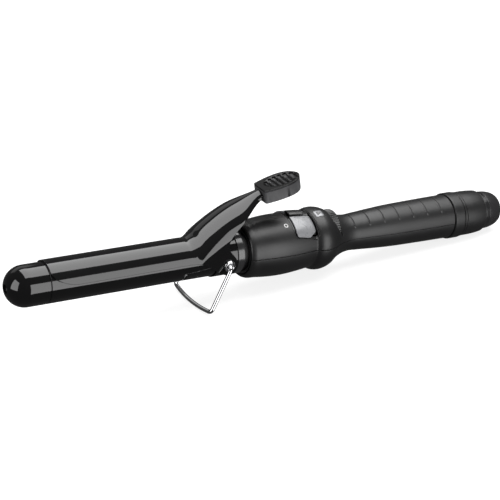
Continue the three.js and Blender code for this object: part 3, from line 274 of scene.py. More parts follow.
def rub_and_highlight_group() -> bpy.types.NodeTree:
    """Sharp corners, broken up by noise: rubbing, and on the thumb rest a painted highlight.

    Returns:
        A group with Reach and Break inputs and a Mask output between 0 and 1.
    """
    tree, given, result = group_with(
        Mark.WEAR.value,
        [("Reach", "NodeSocketFloat", 0.53), ("Break", "NodeSocketFloat", 160.0)],
        [("Mask", "NodeSocketFloat")],
    )
    shape = tree.nodes.new("ShaderNodeNewGeometry")
    place = tree.nodes.new("ShaderNodeTexCoord")
    noise = tree.nodes.new("ShaderNodeTexNoise")
    edge = tree.nodes.new("ShaderNodeMapRange")
    edge.inputs["From Max"].default_value = 0.62
    broken = tree.nodes.new("ShaderNodeMath")
    broken.operation = "MULTIPLY"
    link(place, "Object", noise, "Vector")
    link(given, "Break", noise, "Scale")
    link(shape, "Pointiness", edge, "Value")
    link(given, "Reach", edge, "From Min")
    link(edge, "Result", broken, 0)
    link(noise, "Fac", broken, 1)
    link(broken, "Value", result, "Mask")
    return tree


def handling_group() -> bpy.types.NodeTree:
    """The faint uneven film that hands and air leave on a surface.

    Returns:
        A group with Scale and Streak inputs and a Mask output between 0 and 1.
    """
    tree, given, result = group_with(
        Mark.HANDLING.value,
        [("Scale", "NodeSocketFloat", 28.0), ("Streak", "NodeSocketFloat", 1.2)],
        [("Mask", "NodeSocketFloat")],
    )
    place = tree.nodes.new("ShaderNodeTexCoord")
    noise = tree.nodes.new("ShaderNodeTexNoise")
    noise.inputs["Detail"].default_value = 5.0
    noise.inputs["Roughness"].default_value = 0.6
    spread = tree.nodes.new("ShaderNodeMapRange")
    spread.inputs["From Min"].default_value = 0.35
    spread.inputs["From Max"].default_value = 0.68
    link(place, "Object", noise, "Vector")
    link(given, "Scale", noise, "Scale")
    link(given, "Streak", noise, "Distortion")
    link(noise, "Fac", spread, "Value")
    link(spread, "Result", result, "Mask")
    return tree


@dataclass(frozen=True)
class Finish:
    """One surface finish: colours, gloss, grain, rubbed corners and painted edge highlight.

    Roughness runs between two values with the handling film, and the colour runs to
    film_color with it and to rub_and_highlight_color on sharp corners: rubbing there, and on
    the thumb rest a painted highlight along its rims and ribs.
    """

    name: str
    slot: str
    color: Color
    roughness: tuple[float, float]
    metallic: float = 0.0
    ior: float = 1.5
    coat: float = 0.0
    coat_roughness: float = 0.05
    film_color: Color | None = None
    film_scale: float = 28.0
    film_share: float = 0.5
    rub_and_highlight_color: Color | None = None
    rub_and_highlight_reach: float = 0.53
    grain_scale: float = 900.0
    grain_depth: float = 0.02
    grain_mix: float = 0.6

    def material(self, effects: dict[Mark, bpy.types.NodeTree]) -> bpy.types.Material:
        """Builds the finish as a node material.

        Args:
            effects: The shared groups by name.

        Returns:
            The new material.
        """
        made = bpy.data.materials.new(self.name)
        made.use_nodes = True
        tree = made.node_tree
        shader = tree.nodes["Principled BSDF"]
        shader.inputs["Metallic"].default_value = self.metallic
        shader.inputs["IOR"].default_value = self.ior
        shader.inputs["Coat Weight"].default_value = self.coat
        shader.inputs["Coat Roughness"].default_value = self.coat_roughness
        film = self._effect(tree, effects[Mark.HANDLING], Scale=self.film_scale)
        gloss = tree.nodes.new("ShaderNodeMapRange")
        gloss.inputs["To Min"].default_value = self.roughness[0]
        gloss.inputs["To Max"].default_value = self.roughness[1]
        link(film, "Mask", gloss, "Value")
        link(gloss, "Result", shader, "Roughness")
        color = self._color(tree, film, effects)
        tree.links.new(color, shader.inputs["Base Color"])
        grain = self._effect(
            tree, effects[Mark.GRAIN], Scale=self.grain_scale, Roughen=self.grain_mix
        )
        relief = tree.nodes.new("ShaderNodeBump")
        relief.inputs["Distance"].default_value = self.grain_depth * MM
        link(grain, "Height", relief, "Height")
        link(relief, "Normal", shader, "Normal")
        return made

    @staticmethod
    def _effect(
        tree: bpy.types.NodeTree, effect: bpy.types.NodeTree, **values: float
    ) -> bpy.types.Node:
        """Places a shared group with its own values."""
        node = tree.nodes.new("ShaderNodeGroup")
        node.node_tree = effect
        for label, value in values.items():
            node.inputs[label].default_value = value
        return node

    @staticmethod
    def _mix(
        tree: bpy.types.NodeTree,
        share: bpy.types.NodeSocket,
        first: bpy.types.NodeSocket | None,
        colors: tuple[Color, Color],
    ) -> bpy.types.NodeSocket:
        """A colour that runs from one to another by a mask."""
        mix = tree.nodes.new("ShaderNodeMix")
        mix.data_type = "RGBA"
        mix.inputs[6].default_value = (*colors[0], 1.0)
        mix.inputs[7].default_value = (*colors[1], 1.0)
        if first is not None:
            tree.links.new(first, mix.inputs[6])
        tree.links.new(share, mix.inputs[0])
        return mix.outputs[2]

    def _color(
        self,
        tree: bpy.types.NodeTree,
        film: bpy.types.Node,
        effects: dict[Mark, bpy.types.NodeTree],
    ) -> bpy.types.NodeSocket:
        """The base colour: the film over the plain colour, then rubbing and painted edge highlight
        over both.
        """
        filmed = self.film_color or tuple(min(1.0, 1.25 * c + 0.0008) for c in self.color)
        share = tree.nodes.new("ShaderNodeMath")
        share.operation = "MULTIPLY"
        share.inputs[1].default_value = self.film_share
        link(film, "Mask", share, 0)
        color = self._mix(tree, share.outputs["Value"], None, (self.color, filmed))
        if self.rub_and_highlight_color is not None:
            rub_and_highlight_mask = self._effect(tree, effects[Mark.WEAR], Reach=self.rub_and_highlight_reach)
            color = self._mix(tree, rub_and_highlight_mask.outputs["Mask"], color, (self.color, self.rub_and_highlight_color))
        return color


def _dark(level: float) -> Color:
    """A near-neutral dark colour, a little bluer than grey."""
    return (level, level, level * BLUER)


class Look(Enum):
    """Every finish on the iron."""

    CERAMIC_COAT = Finish(
        "ceramic_coat", "barrel", _dark(0.0035), (0.04, 0.085), ior=1.52,
        film_scale=22.0, grain_scale=420.0, grain_depth=0.0006, grain_mix=1.0,
    )
    CLAMP_COAT = Finish(
        "clamp_coat", "clamp", _dark(0.0035), (0.04, 0.085), ior=1.52,
        film_scale=19.0, grain_scale=380.0, grain_depth=0.0006, grain_mix=1.0,
        rub_and_highlight_color=_dark(0.02), rub_and_highlight_reach=0.56,
    )
    SOFT_TOUCH = Finish(
        "soft_touch", "body_plastic", _dark(0.006), (0.37, 0.44), ior=1.5,
        film_scale=17.0, grain_scale=1500.0, grain_depth=0.006,
        rub_and_highlight_color=_dark(0.035), rub_and_highlight_reach=0.54,
    )
    # The block's much lighter edge colour paints the bright highlight along its rims, over some
    # rubbing.
    SATIN_REST = Finish(
        "satin_rest", "soft_plastic", _dark(0.032), (0.36, 0.46), ior=1.4,
        film_scale=40.0, grain_scale=1700.0, grain_depth=0.006,
        rub_and_highlight_color=_dark(0.16), rub_and_highlight_reach=0.52,
    )
    # The pad's edge colour, far lighter than its black, paints the bright highlight along its rim
    # and ribs, over some rubbing.
    REST_INSERT = Finish(
        "rest_insert", "soft_plastic", _dark(0.003), (0.1, 0.16), ior=1.3,
        film_scale=60.0, grain_scale=1900.0, grain_depth=0.001,
        rub_and_highlight_color=_dark(0.16), rub_and_highlight_reach=0.53,
    )
    HEAT_BLACK = Finish(
        "heat_black", "heat_plastic", _dark(0.008), (0.45, 0.6),
        film_scale=50.0, grain_scale=1600.0, grain_depth=0.012,
    )
    COLLAR_GLOSS = Finish(
        "collar_gloss", "collar", _dark(0.02), (0.14, 0.22), ior=1.6,
        film_scale=60.0, grain_scale=700.0, grain_depth=0.0008, grain_mix=1.0,
        rub_and_highlight_color=_dark(0.1), rub_and_highlight_reach=0.55,
    )
    TRIM_GLOSS = Finish(
        "trim_gloss", "trim_plastic", _dark(0.012), (0.12, 0.2),
        film_scale=60.0, grain_scale=900.0, grain_depth=0.001, grain_mix=1.0,
    )
    SWIVEL_SATIN = Finish(
        "swivel_satin", "trim_plastic", _dark(0.016), (0.24, 0.34),
        film_scale=45.0, grain_scale=1500.0, grain_depth=0.004,
        rub_and_highlight_color=_dark(0.05), rub_and_highlight_reach=0.54,
    )
    DIAL_BLACK = Finish(
        "dial_black", "dial_plastic", _dark(0.004), (0.3, 0.4),
        film_scale=70.0, grain_scale=1600.0, grain_depth=0.004,
        rub_and_highlight_color=_dark(0.03), rub_and_highlight_reach=0.56,
    )
    SILVER_PAINT = Finish(
        "silver_paint", "silver_plastic", (0.2, 0.203, 0.212), (0.26, 0.32),
        metallic=0.25, coat=0.35, coat_roughness=0.08, film_scale=120.0,
        film_color=(0.215, 0.218, 0.226), grain_scale=2600.0, grain_depth=0.003,
        rub_and_highlight_color=(0.4, 0.4, 0.41), rub_and_highlight_reach=0.55,
    )
    MARK_PAINT = Finish(
        "mark_paint", "silver_plastic", (0.78, 0.78, 0.77), (0.4, 0.5),
        film_scale=90.0, film_color=(0.7, 0.7, 0.69), grain_scale=2000.0, grain_depth=0.003,
    )
    CHROME = Finish(
        "chrome", "chrome", (0.6, 0.6, 0.61), (0.03, 0.07), metallic=1.0,
        film_scale=70.0, film_color=(0.56, 0.56, 0.57), grain_scale=500.0,
        grain_depth=0.0004, grain_mix=1.0,
    )
    SPRING_BRASS = Finish(
        "spring_brass", "spring_metal", (0.74, 0.62, 0.4), (0.12, 0.22), metallic=1.0,
        film_scale=80.0, film_color=(0.6, 0.47, 0.28), grain_scale=900.0, grain_depth=0.001,
    )
    ZINC_STEEL = Finish(
        "zinc_steel", "screws", (0.4, 0.4, 0.41), (0.22, 0.38), metallic=1.0,
        film_scale=120.0, film_color=(0.28, 0.28, 0.29), grain_scale=1800.0,
        grain_depth=0.004, rub_and_highlight_color=(0.62, 0.62, 0.62), rub_and_highlight_reach=0.54,
    )
    PLAIN_ALUMINIUM = Finish(
        "plain_aluminium", "aluminium", (0.6, 0.61, 0.62), (0.28, 0.42), metallic=1.0,
        film_scale=60.0, grain_scale=1200.0, grain_depth=0.005,
    )
    CERAMIC_WHITE = Finish(
        "ceramic_white", "ceramic", (0.74, 0.71, 0.65), (0.5, 0.68),
        film_scale=80.0, film_color=(0.66, 0.6, 0.5), grain_scale=1400.0, grain_depth=0.012,
    )
    BOARD_LACQUER = Finish(
        "board_lacquer", "board", (0.02, 0.1, 0.045), (0.2, 0.34),
        film_scale=140.0, film_color=(0.03, 0.14, 0.06), grain_scale=2200.0,
        grain_depth=0.006,
    )
    COMPONENT_SHELL = Finish(
        "component_shell", "component", (0.03, 0.04, 0.08), (0.3, 0.42),
        film_scale=120.0, grain_scale=1800.0, grain_depth=0.008,
    )
    LEAD_SLEEVE = Finish(
        "lead_sleeve", "sleeving", (0.5, 0.48, 0.44), (0.4, 0.55),
        film_scale=150.0, film_color=(0.42, 0.39, 0.34), grain_scale=2400.0,
        grain_depth=0.01,
    )


class PaintShop:
    """Makes each finish's material once and hands it out."""

    def __init__(self) -> None:
        """Builds the shared groups."""
        self.effects = {
            Mark.GRAIN: grain_group(),
            Mark.WEAR: rub_and_highlight_group(),
            Mark.HANDLING: handling_group(),
        }
        self.made: dict[Look, bpy.types.Material] = {}

    def material(self, look: Look) -> bpy.types.Material:
        """The material of a finish, made when it is first asked for."""
        if look not in self.made:
            self.made[look] = look.value.material(self.effects)
        return self.made[look]


# ---------------------------------------------------------------- mesh making


@dataclass
class Draft:
    """A mesh in the making: points in millimetres, faces, and a normal for each corner."""

    points: list[Sequence[float]] = field(default_factory=list)
    faces: list[tuple[int, ...]] = field(default_factory=list)
    normals: list[Sequence[float]] = field(default_factory=list)

    def moved(self, matrix: Matrix) -> "Draft":
        """The draft carried by a matrix."""
        turn = matrix.to_3x3().normalized()
        points = [tuple(matrix @ Vector(p)) for p in self.points]
        normals = [tuple(turn @ Vector(n)) for n in self.normals]
        return Draft(points, list(self.faces), normals)


class Workshop:
    """Turns drafts into named, painted pieces that ride on the frame's bodies."""

    face_weight = 60

    def __init__(self, axis: AxisFrame, paint: PaintShop) -> None:
        """Keeps the axis frame and the paint shop at hand."""
        self.axis = axis
        self.paint = paint

    def piece(
        self, name: str, shape: "Draft | Sheet", body: str, look: Look,
        replaces: Sequence[str] = (), place: Matrix | None = None,
    ) -> bpy.types.Object:
        """Makes one piece of the iron.

        Args:
            name: The piece's name.
            shape: Its mesh or sheet, along the barrel's axes.
            body: The frame body that it rides on.
            look: Its finish.
            replaces: The frame nodes that it stands for.
            place: Where the shape goes, if it isn't drawn in place.

        Returns:
            The new object.
        """
        draft = shape.draft() if isinstance(shape, Sheet) else shape
        if place is not None:
            draft = draft.moved(place)
        made = self.loose(name, draft, look)
        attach(made, body)
        if replaces:
            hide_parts(*replaces)
        log.info("%s: %d faces on %s in %s", name, len(draft.faces), body, look.value.name)
        return made

    def loose(self, name: str, draft: Draft, look: Look) -> bpy.types.Object:
        """Makes a painted object that doesn't ride on anything yet.

        Args:
            name: The object's name.
            draft: Its mesh.
            look: Its finish.

        Returns:
            The new object.
        """
        mesh = bpy.data.meshes.new(name)
        points = [tuple(self.axis.matrix @ Vector(p)) for p in draft.points]
        mesh.from_pydata(points, [], draft.faces)
        mesh.materials.append(self.paint.material(look))
        made = bpy.data.objects.new(name, mesh)
        bpy.context.scene.collection.objects.link(made)
        if draft.normals:
            mesh.polygons.foreach_set("use_smooth", [True] * len(mesh.polygons))
            normals = [tuple(self.axis.turn @ Vector(n)) for n in draft.normals]
            mesh.normals_split_custom_set(normals)
        else:
            self._even_out(mesh, made)
        return made

    def pierce(self, made: bpy.types.Object, draft: Draft) -> None:
        """Cuts a draft's shape out of a piece.

        Args:
            made: The piece.
            draft: The shape to cut away.
        """
        cutter = self.loose("cutter", draft, Look.HEAT_BLACK)
        cut = made.modifiers.new("cut", "BOOLEAN")
        cut.object = cutter
        cut.operation = "DIFFERENCE"
        cut.solver = "EXACT"
        made.modifiers.move(len(made.modifiers) - 1, 0)
        with bpy.context.temp_override(object=made, active_object=made):
            bpy.ops.object.modifier_apply(modifier=cut.name)
        made.data.set_sharp_from_angle(angle=SHARP)
        bpy.data.objects.remove(cutter)

    def _even_out(self, mesh: bpy.types.Mesh, made: bpy.types.Object) -> None:
        """Points the faces outwards and shades the broad ones flat, the rounds smooth."""
        work = bmesh.new()
        work.from_mesh(mesh)
        bmesh.ops.recalc_face_normals(work, faces=work.faces)
        work.to_mesh(mesh)
        work.free()
        mesh.polygons.foreach_set("use_smooth", [True] * len(mesh.polygons))
        mesh.set_sharp_from_angle(angle=SHARP)
        even = made.modifiers.new("even_shading", "WEIGHTED_NORMAL")
        even.keep_sharp = True
        even.weight = self.face_weight

    def dress(self, look: Look, *nodes: str) -> None:
        """Paints frame nodes that are shown as they are."""
        for name in nodes:
            node = self.axis.nodes[name]
            node.data.materials.clear()
            node.data.materials.append(self.paint.material(look))
            log.info("%s: frame node in %s", name, look.value.name)


def block_draft(low: Sequence[float], high: Sequence[float]) -> Draft:
    """A box between two corners.

    Args:
        low: Its least corner.
        high: Its greatest corner.

    Returns:
        The draft.
    """
    (x0, y0, z0), (x1, y1, z1) = low, high
    points = [(x, y, z) for x in (x0, x1) for y in (y0, y1) for z in (z0, z1)]
    faces = [(0, 1, 3, 2), (4, 6, 7, 5), (0, 4, 5, 1), (2, 3, 7, 6), (0, 2, 6, 4), (1, 5, 7, 3)]
    return Draft(points, faces)


def rounded(corners: Sequence[tuple[float, float, float]], steps: int = 4) -> list[Point]:
    """An outline with its corners rounded.

    Args:
        corners: Station, radius and rounding of each corner. An outline whose first corner
            is off the axis closes on itself.
        steps: How many pieces each round is made of.

    Returns:
        The outline's points.
    """
    closed = corners[0][1] > TINY
    count = len(corners)
    outline: list[Point] = []
    for i, (x, r, size) in enumerate(corners):
        if size <= 0 or (not closed and i in (0, count - 1)):
            outline.append((x, r))
            continue
        here = Vector((x, r))
        back = Vector(corners[i - 1][:2]) - here
        ahead = Vector(corners[(i + 1) % count][:2]) - here
        reach = min(size, ROUND_SHARE * back.length, ROUND_SHARE * ahead.length)
        start = here + back.normalized() * reach
        end = here + ahead.normalized() * reach
        for k in range(steps + 1):
            t = k / steps
            point = start * (1 - t) ** 2 + here * (2 * t * (1 - t)) + end * t**2
            outline.append((point.x, point.y))
    return outline


def lathe(
    outline: Sequence[Point], segments: int = 128, height: float = 0.0,
    ripple: Callable[[float, float], float] | None = None, beyond: float = 0.0,
) -> Draft:
    """A turned solid about the barrel's axis, or about a parallel one.

    Args:
        outline: Stations and radii, from axis to axis or closed on itself.
        segments: How many facets go round.
        height: How far its axis is above the barrel's.
        ripple: Added to the radius, from the station and the angle.
        beyond: The ripple only goes on radii above this.

    Returns:
        The draft.
    """
    draft = Draft()
    rings: list[list[int]] = []
    for x, r in outline:
        start = len(draft.points)
        if r < TINY:
            draft.points.append((x, 0.0, height))
            rings.append([start] * segments)
            continue
        for k in range(segments):
            a = 2 * math.pi * k / segments
            here = r + (ripple(x, a) if ripple and r > beyond else 0.0)
            draft.points.append((x, here * math.sin(a), height + here * math.cos(a)))
        rings.append(list(range(start, start + segments)))
    if outline[0][1] > TINY:
        rings.append(rings[0])
    for near, far in zip(rings, rings[1:]):
        for k in range(segments):
            n = (k + 1) % segments
            face = tuple(dict.fromkeys((near[k], near[n], far[n], far[k])))
            if len(face) > 2:
                draft.faces.append(face)
    return draft


def band(span: Span, inner: float, ease: float, outer: float = 0.0, steps: int = 4) -> Draft:
    """A turned ring with eased edges.

    Args:
        span: The frame node that it stands for.
        inner: The radius of its bore.
        ease: The rounding of its outer edges.
        outer: Its outer radius, if it isn't the node's.
        steps: How many pieces each rounding is made of.

    Returns:
        The draft.
    """
    r, x0, x1 = outer or span.radius, span.front, span.rear
    return lathe(rounded([(x0, inner, 0.1), (x0, r, ease), (x1, r, ease), (x1, inner, 0.1)], steps))


def rod(
    path: Sequence[Vector], radius: float, sides: int, end_share: float = 0.55,
    end_reach: float = 0.4,
) -> Draft:
    """A round wire along a path, with domed ends.

    Args:
        path: The centre line's points, close together.
        radius: The wire's radius.
        sides: How many facets go round.
        end_share: The end face's radius, as a share of the wire's.
        end_reach: How far it stands out, as a share of the wire's radius.

    Returns:
        The draft.
    """
    draft = Draft()
    stations = [(path[0], end_share), *((p, 1.0) for p in path), (path[-1], end_share)]
    tangents = [(path[min(i + 1, len(path) - 1)] - path[max(i - 1, 0)]).normalized()
                for i in range(len(path))]
    tangents = [tangents[0], *tangents, tangents[-1]]
    side = tangents[0].orthogonal().normalized()
    rings = []
    for i, ((point, share), tangent) in enumerate(zip(stations, tangents)):
        side = (side - tangent * side.dot(tangent)).normalized()
        over = tangent.cross(side)
        end = -1 if i == 0 else (1 if i == len(stations) - 1 else 0)
        centre = point + tangent * (end * end_reach * radius)
        start = len(draft.points)
        for k in range(sides):
            a = 2 * math.pi * k / sides
            ray = side * math.cos(a) + over * math.sin(a)
            draft.points.append(tuple(centre + ray * (radius * share)))
        rings.append(list(range(start, start + sides)))
    for near, far in zip(rings, rings[1:]):
        for k in range(sides):
            n = (k + 1) % sides
            draft.faces.append((near[k], near[n], far[n], far[k]))
    draft.faces.append(tuple(reversed(rings[0])))
    draft.faces.append(tuple(rings[-1]))
    return draft


def smooth_run(points: Sequence[Point], steps: int) -> list[Point]:
    """A smooth curve through unevenly spaced points, `steps` pieces between each two.

    Args:
        points: The points that the curve goes through.
        steps: How many pieces lie between two of them.

    Returns:
        The curve's points.
    """
    x, y = np.array(points, float).T
    gap = np.diff(x)
    rise = np.diff(y) / gap
    lean = np.empty(len(x))
    lean[0], lean[-1] = rise[0], rise[-1]
    lean[1:-1] = (rise[:-1] * gap[1:] + rise[1:] * gap[:-1]) / (gap[:-1] + gap[1:])
    curve: list[Point] = []
    for i, width in enumerate(gap):
        for t in np.arange(steps) / steps:
            keep = (1 + 2 * t) * (1 - t) ** 2 * y[i] + t**2 * (3 - 2 * t) * y[i + 1]
            turn = t * (1 - t) ** 2 * lean[i] + t**2 * (t - 1) * lean[i + 1]
            curve.append((float(x[i] + t * width), float(keep + width * turn)))
    curve.append((float(x[-1]), float(y[-1])))
    return curve


def bezier(points: Sequence[Point], steps: int = 12) -> list[Point]:
    """A Bezier curve of any degree, without its first point.

    Args:
        points: The curve's control points.
        steps: How many pieces it has.

    Returns:
        The curve's points, without the first.
    """
    curve = []
    for k in range(1, steps + 1):
        t = k / steps
        hull = [Vector(p) for p in points]
        while len(hull) > 1:
            hull = [a.lerp(b, t) for a, b in zip(hull, hull[1:])]
        curve.append(tuple(hull[0]))
    return curve


def densify(loop: Sequence[Point], step: float) -> np.ndarray:
    """A closed outline with no side longer than `step`.

    Args:
        loop: A closed outline.
        step: The longest piece to leave.

    Returns:
        The outline's points.
    """
    points = []
    for here, ahead in zip(loop, [*loop[1:], loop[0]]):
        a, b = np.array(here, float), np.array(ahead, float)
        count = max(1, math.ceil(np.linalg.norm(b - a) / step - TINY))
        if np.linalg.norm(b - a) > TINY:
            points.extend(a + (b - a) * k / count for k in range(count))
    return np.array(points)


def rounded_box(x0: float, x1: float, v0: float, v1: float, size: float) -> list[Point]:
    """A rectangle with round corners, anticlockwise, as an outline.

    Args:
        x0: Its front.
        x1: Its rear.
        v0: Its low side.
        v1: Its high side.
        size: The rounding.

    Returns:
        The outline's points.
    """
    outline: list[Point] = []
    corners = [(x1, v0, -90), (x1, v1, 0), (x0, v1, 90), (x0, v0, 180)]
    for x, v, start in corners:
        cx = x - size if x == x1 else x + size
        cv = v - size if v == v1 else v + size
        for k in range(CORNER_STEPS + 1):
            a = math.radians(start + 90 // CORNER_STEPS * k)
            outline.append((cx + size * math.cos(a), cv + size * math.sin(a)))
    return outline


def circle(x: float, v: float, r: float, count: int = 40) -> list[Point]:
    """A round outline, anticlockwise."""
    turn = 2 * math.pi / count
    return [(x + r * math.cos(turn * k), v + r * math.sin(turn * k)) for k in range(count)]


def is_inside(points: np.ndarray, loops: Sequence[np.ndarray]) -> np.ndarray:
    """Which points lie within the outlines, counting holes.

    Args:
        points: The points to test.
        loops: Closed outlines, holes among them.

    Returns:
        True for each point that an odd number of outlines goes round.
    """
    odd = np.zeros(len(points), bool)
    px, py = points[:, 0], points[:, 1]
    for loop in loops:
        ahead = np.roll(loop, -1, axis=0)
        for (ax, ay), (bx, by) in zip(loop, ahead):
            if ay == by:
                continue
            crosses = (ay > py) != (by > py)
            odd ^= crosses & (px < (bx - ax) * (py - ay) / (by - ay) + ax)
    return odd


@dataclass
class Sheet:
    """A patch of a curved surface with real thickness, holes and rounded rims."""

    surface: Surface
    outline: list[Point]
    holes: list[list[Point]] = field(default_factory=list)
    xs: Sequence[float] = ()
    vs: Sequence[float] = ()
    depth: float = 1.0
    edge: float = 0.25
    step: float = 0.8
    rim_steps: int = 3
    round_under: bool = False
    under: Surface | None = None
    least_mitre: float = 0.6
    border_share: float = 0.4
    batch: int = 2000

    def _normals(self, flat: np.ndarray, surface: Surface | None = None) -> np.ndarray:
        """Unit normals of the surface, or of another one."""
        face = surface or self.surface
        e = SLOPE_STEP
        du = face(flat + (e, 0)) - face(flat - (e, 0))
        dv = face(flat + (0, e)) - face(flat - (0, e))
        normal = np.cross(du, dv)
        return normal / np.linalg.norm(normal, axis=1, keepdims=True)

    def _loops(self) -> tuple[list[np.ndarray], list[np.ndarray], list[np.ndarray]]:
        """The inset outlines, their outward directions and how far each corner is let out."""
        insets, outs, mitres = [], [], []
        for number, outline in enumerate([self.outline, *self.holes]):
            loop = densify(outline, self.step)
            after = np.roll(loop, -1, axis=0)
            area = 0.5 * np.sum(loop[:, 0] * after[:, 1] - after[:, 0] * loop[:, 1])
            if (area < 0) != (number > 0):
                loop = loop[::-1]
            side = np.roll(loop, -1, axis=0) - loop
            side /= np.linalg.norm(side, axis=1, keepdims=True)
            right = np.stack([side[:, 1], -side[:, 0]], 1)
            out = right + np.roll(right, 1, axis=0)
            out /= np.linalg.norm(out, axis=1, keepdims=True)
            mitre = 1 / np.clip(np.sum(out * right, axis=1), self.least_mitre, 1)
            insets.append(loop - out * (self.edge * mitre)[:, None])
            outs.append(out)
            mitres.append(mitre)
        return insets, outs, mitres

    def _inner_points(self, insets: list[np.ndarray]) -> np.ndarray:
        """The grid points that lie well within the inset outlines."""
        grid = np.array([(x, v) for x in self.xs for v in self.vs]).reshape(-1, 2)
        if not len(grid):
            return grid
        grid = grid[is_inside(grid, insets)]
        border = np.concatenate(insets)
        clear = np.ones(len(grid), bool)
        for start in range(0, len(grid), self.batch):
            part = slice(start, start + self.batch)
            away = np.linalg.norm(grid[part][:, None] - border[None], axis=2).min(1)
            clear[part] = away > self.border_share * self.step
        return grid[clear]

    def draft(self) -> Draft:
        """Builds the sheet.

        Returns:
            A closed draft with a normal for each corner.
        """
        insets, outs, mitres = self._loops()
        grid = self._inner_points(insets)
        flat = np.concatenate([*insets, grid]) if len(grid) else np.concatenate(insets)
        edges, start = [], 0
        for loop in insets:
            count = len(loop)
            edges.extend((start + k, start + (k + 1) % count) for k in range(count))
            start += count
        found = delaunay_2d_cdt([Vector(p) for p in flat], edges, [], 0, TINY)
        spots = np.array([tuple(p) for p in found[0]])
        place = {i: at for at, origins in enumerate(found[3]) for i in origins}
        corners = np.array([f for f in found[2] if len(f) == 3])
        kept = is_inside(spots[corners].mean(1), insets)
        triangles = corners[kept]
        a, b, c = (spots[triangles[:, k]] for k in range(3))
        turned = (b - a)[:, 0] * (c - a)[:, 1] - (b - a)[:, 1] * (c - a)[:, 0]
        triangles[turned < 0] = triangles[turned < 0][:, ::-1]
        return self._solid(spots, triangles, place, insets, outs, mitres)

    def _rings(self) -> list[tuple[float, float, float]]:
        """Each ring of the rim: how far out, how deep, and the normal's turn in degrees."""
        e, n = self.edge, self.rim_steps
        turns = [math.radians(90 * k / n) for k in range(1, n + 1)]
        rings = [(e * math.sin(t), e * (1 - math.cos(t)), math.degrees(t)) for t in turns]
        if not self.round_under:
            return [*rings, (e, self.depth, 90.0)]
        under = self.depth - e
        rings.append((e, under, 90.0))
        rings.extend(
            (e * math.cos(t), under + e * math.sin(t), 90 + math.degrees(t)) for t in turns
        )
        return rings

    def _solid(
        self,
        spots: np.ndarray,
        triangles: np.ndarray,
        place: dict[int, int],
        insets: list[np.ndarray],
        outs: list[np.ndarray],
        mitres: list[np.ndarray],
    ) -> Draft:
        """Lays the flat triangles on the surface, with the rims and the underside."""
        top_normals = self._normals(spots)
        top = self.surface(spots)
        points = [*top]
        faces = [tuple(t) for t in triangles]
        normals = [top_normals[i] for t in triangles for i in t]
        under = {}
        first = 0
        rings = self._rings()
        for loop, out, mitre in zip(insets, outs, mitres):
            count = len(loop)
            near = [place[first + k] for k in range(count)]
            near_normals = top_normals[near]
            for reach, deep, turn in rings:
                flat = loop + out * (reach * mitre)[:, None]
                face_normals = self._normals(flat)
                aside = self.surface(flat + out * SLOPE_STEP)
                aside = aside - self.surface(flat - out * SLOPE_STEP)
                aside -= face_normals * np.sum(aside * face_normals, axis=1, keepdims=True)
                aside /= np.linalg.norm(aside, axis=1, keepdims=True)
                ring_points = self.surface(flat) - face_normals * deep
                if self.under is not None and deep >= self.depth:
                    ring_points = self.under(flat)
                a = math.radians(turn)
                ring_normals = face_normals * math.cos(a) + aside * math.sin(a)
                start = len(points)
                points.extend(ring_points)
                far = list(range(start, start + count))
                for k in range(count):
                    n = (k + 1) % count
                    faces.append((near[k], far[k], far[n], near[n]))
                    normals.extend(
                        (near_normals[k], ring_normals[k], ring_normals[n], near_normals[n])
                    )
                near, near_normals = far, ring_normals
            for k in range(count):
                under[place[first + k]] = near[k]
            first += count
        low, low_normals = top - top_normals * self.depth, top_normals
        if self.under is not None:
            low, low_normals = self.under(spots), self._normals(spots, self.under)
        for i in range(len(spots)):
            if i not in under:
                under[i] = len(points)
                points.append(low[i])
        for t in triangles:
            faces.append(tuple(under[i] for i in reversed(t)))
            normals.extend(-low_normals[i] for i in reversed(t))
        return Draft([tuple(p) for p in points], faces, [tuple(n) for n in normals])


def ruled(
    start: float, end: float, step: float, finer: Sequence[float] = (), fine: float = 0.35,
    reach: int = 3,
) -> list[float]:
    """Grid lines at an even step, with finer ones round some places.

    Args:
        start: The first line.
        end: The last line.
        step: The spacing.
        finer: Where finer lines are wanted.
        fine: The finer spacing.
        reach: How many fine lines there are on each side.

    Returns:
        The sorted places of the lines.
    """
    count = max(1, round((end - start) / step))
    lines = [start + (end - start) * k / count for k in range(count + 1)]
    close = [at + fine * k for at in finer for k in range(-reach, reach + 1)]
    span = fine * (reach + 0.6)
    lines = [x for x in lines if all(abs(x - at) > span for at in finer)]
    return sorted(x for x in {round(x, 4) for x in [*lines, *close]} if start <= x <= end)


# ---------------------------------------------------------------- outlines and skins


class Profile:
    """A smooth outline that can be read at any station."""

    def __init__(self, points: Sequence[Point], steps: int = 40, breaks: int = 0) -> None:
        """Runs a smooth curve through the points.

        Args:
            points: Stations and heights, from front to rear.
            steps: Pieces of curve between two points.
            breaks: Number of the point where the outline has a crease, if it isn't 0.
        """
        runs = [points[: breaks + 1], points[breaks + 1 :]] if breaks else [points]
        curve = [point for run in runs for point in smooth_run(run, steps)]
        self.stations = np.array([p[0] for p in curve])
        self.heights = np.array([p[1] for p in curve])

    def at(self, x: np.ndarray | float) -> np.ndarray:
        """The outline's height at some stations."""
        return np.interp(x, self.stations, self.heights)


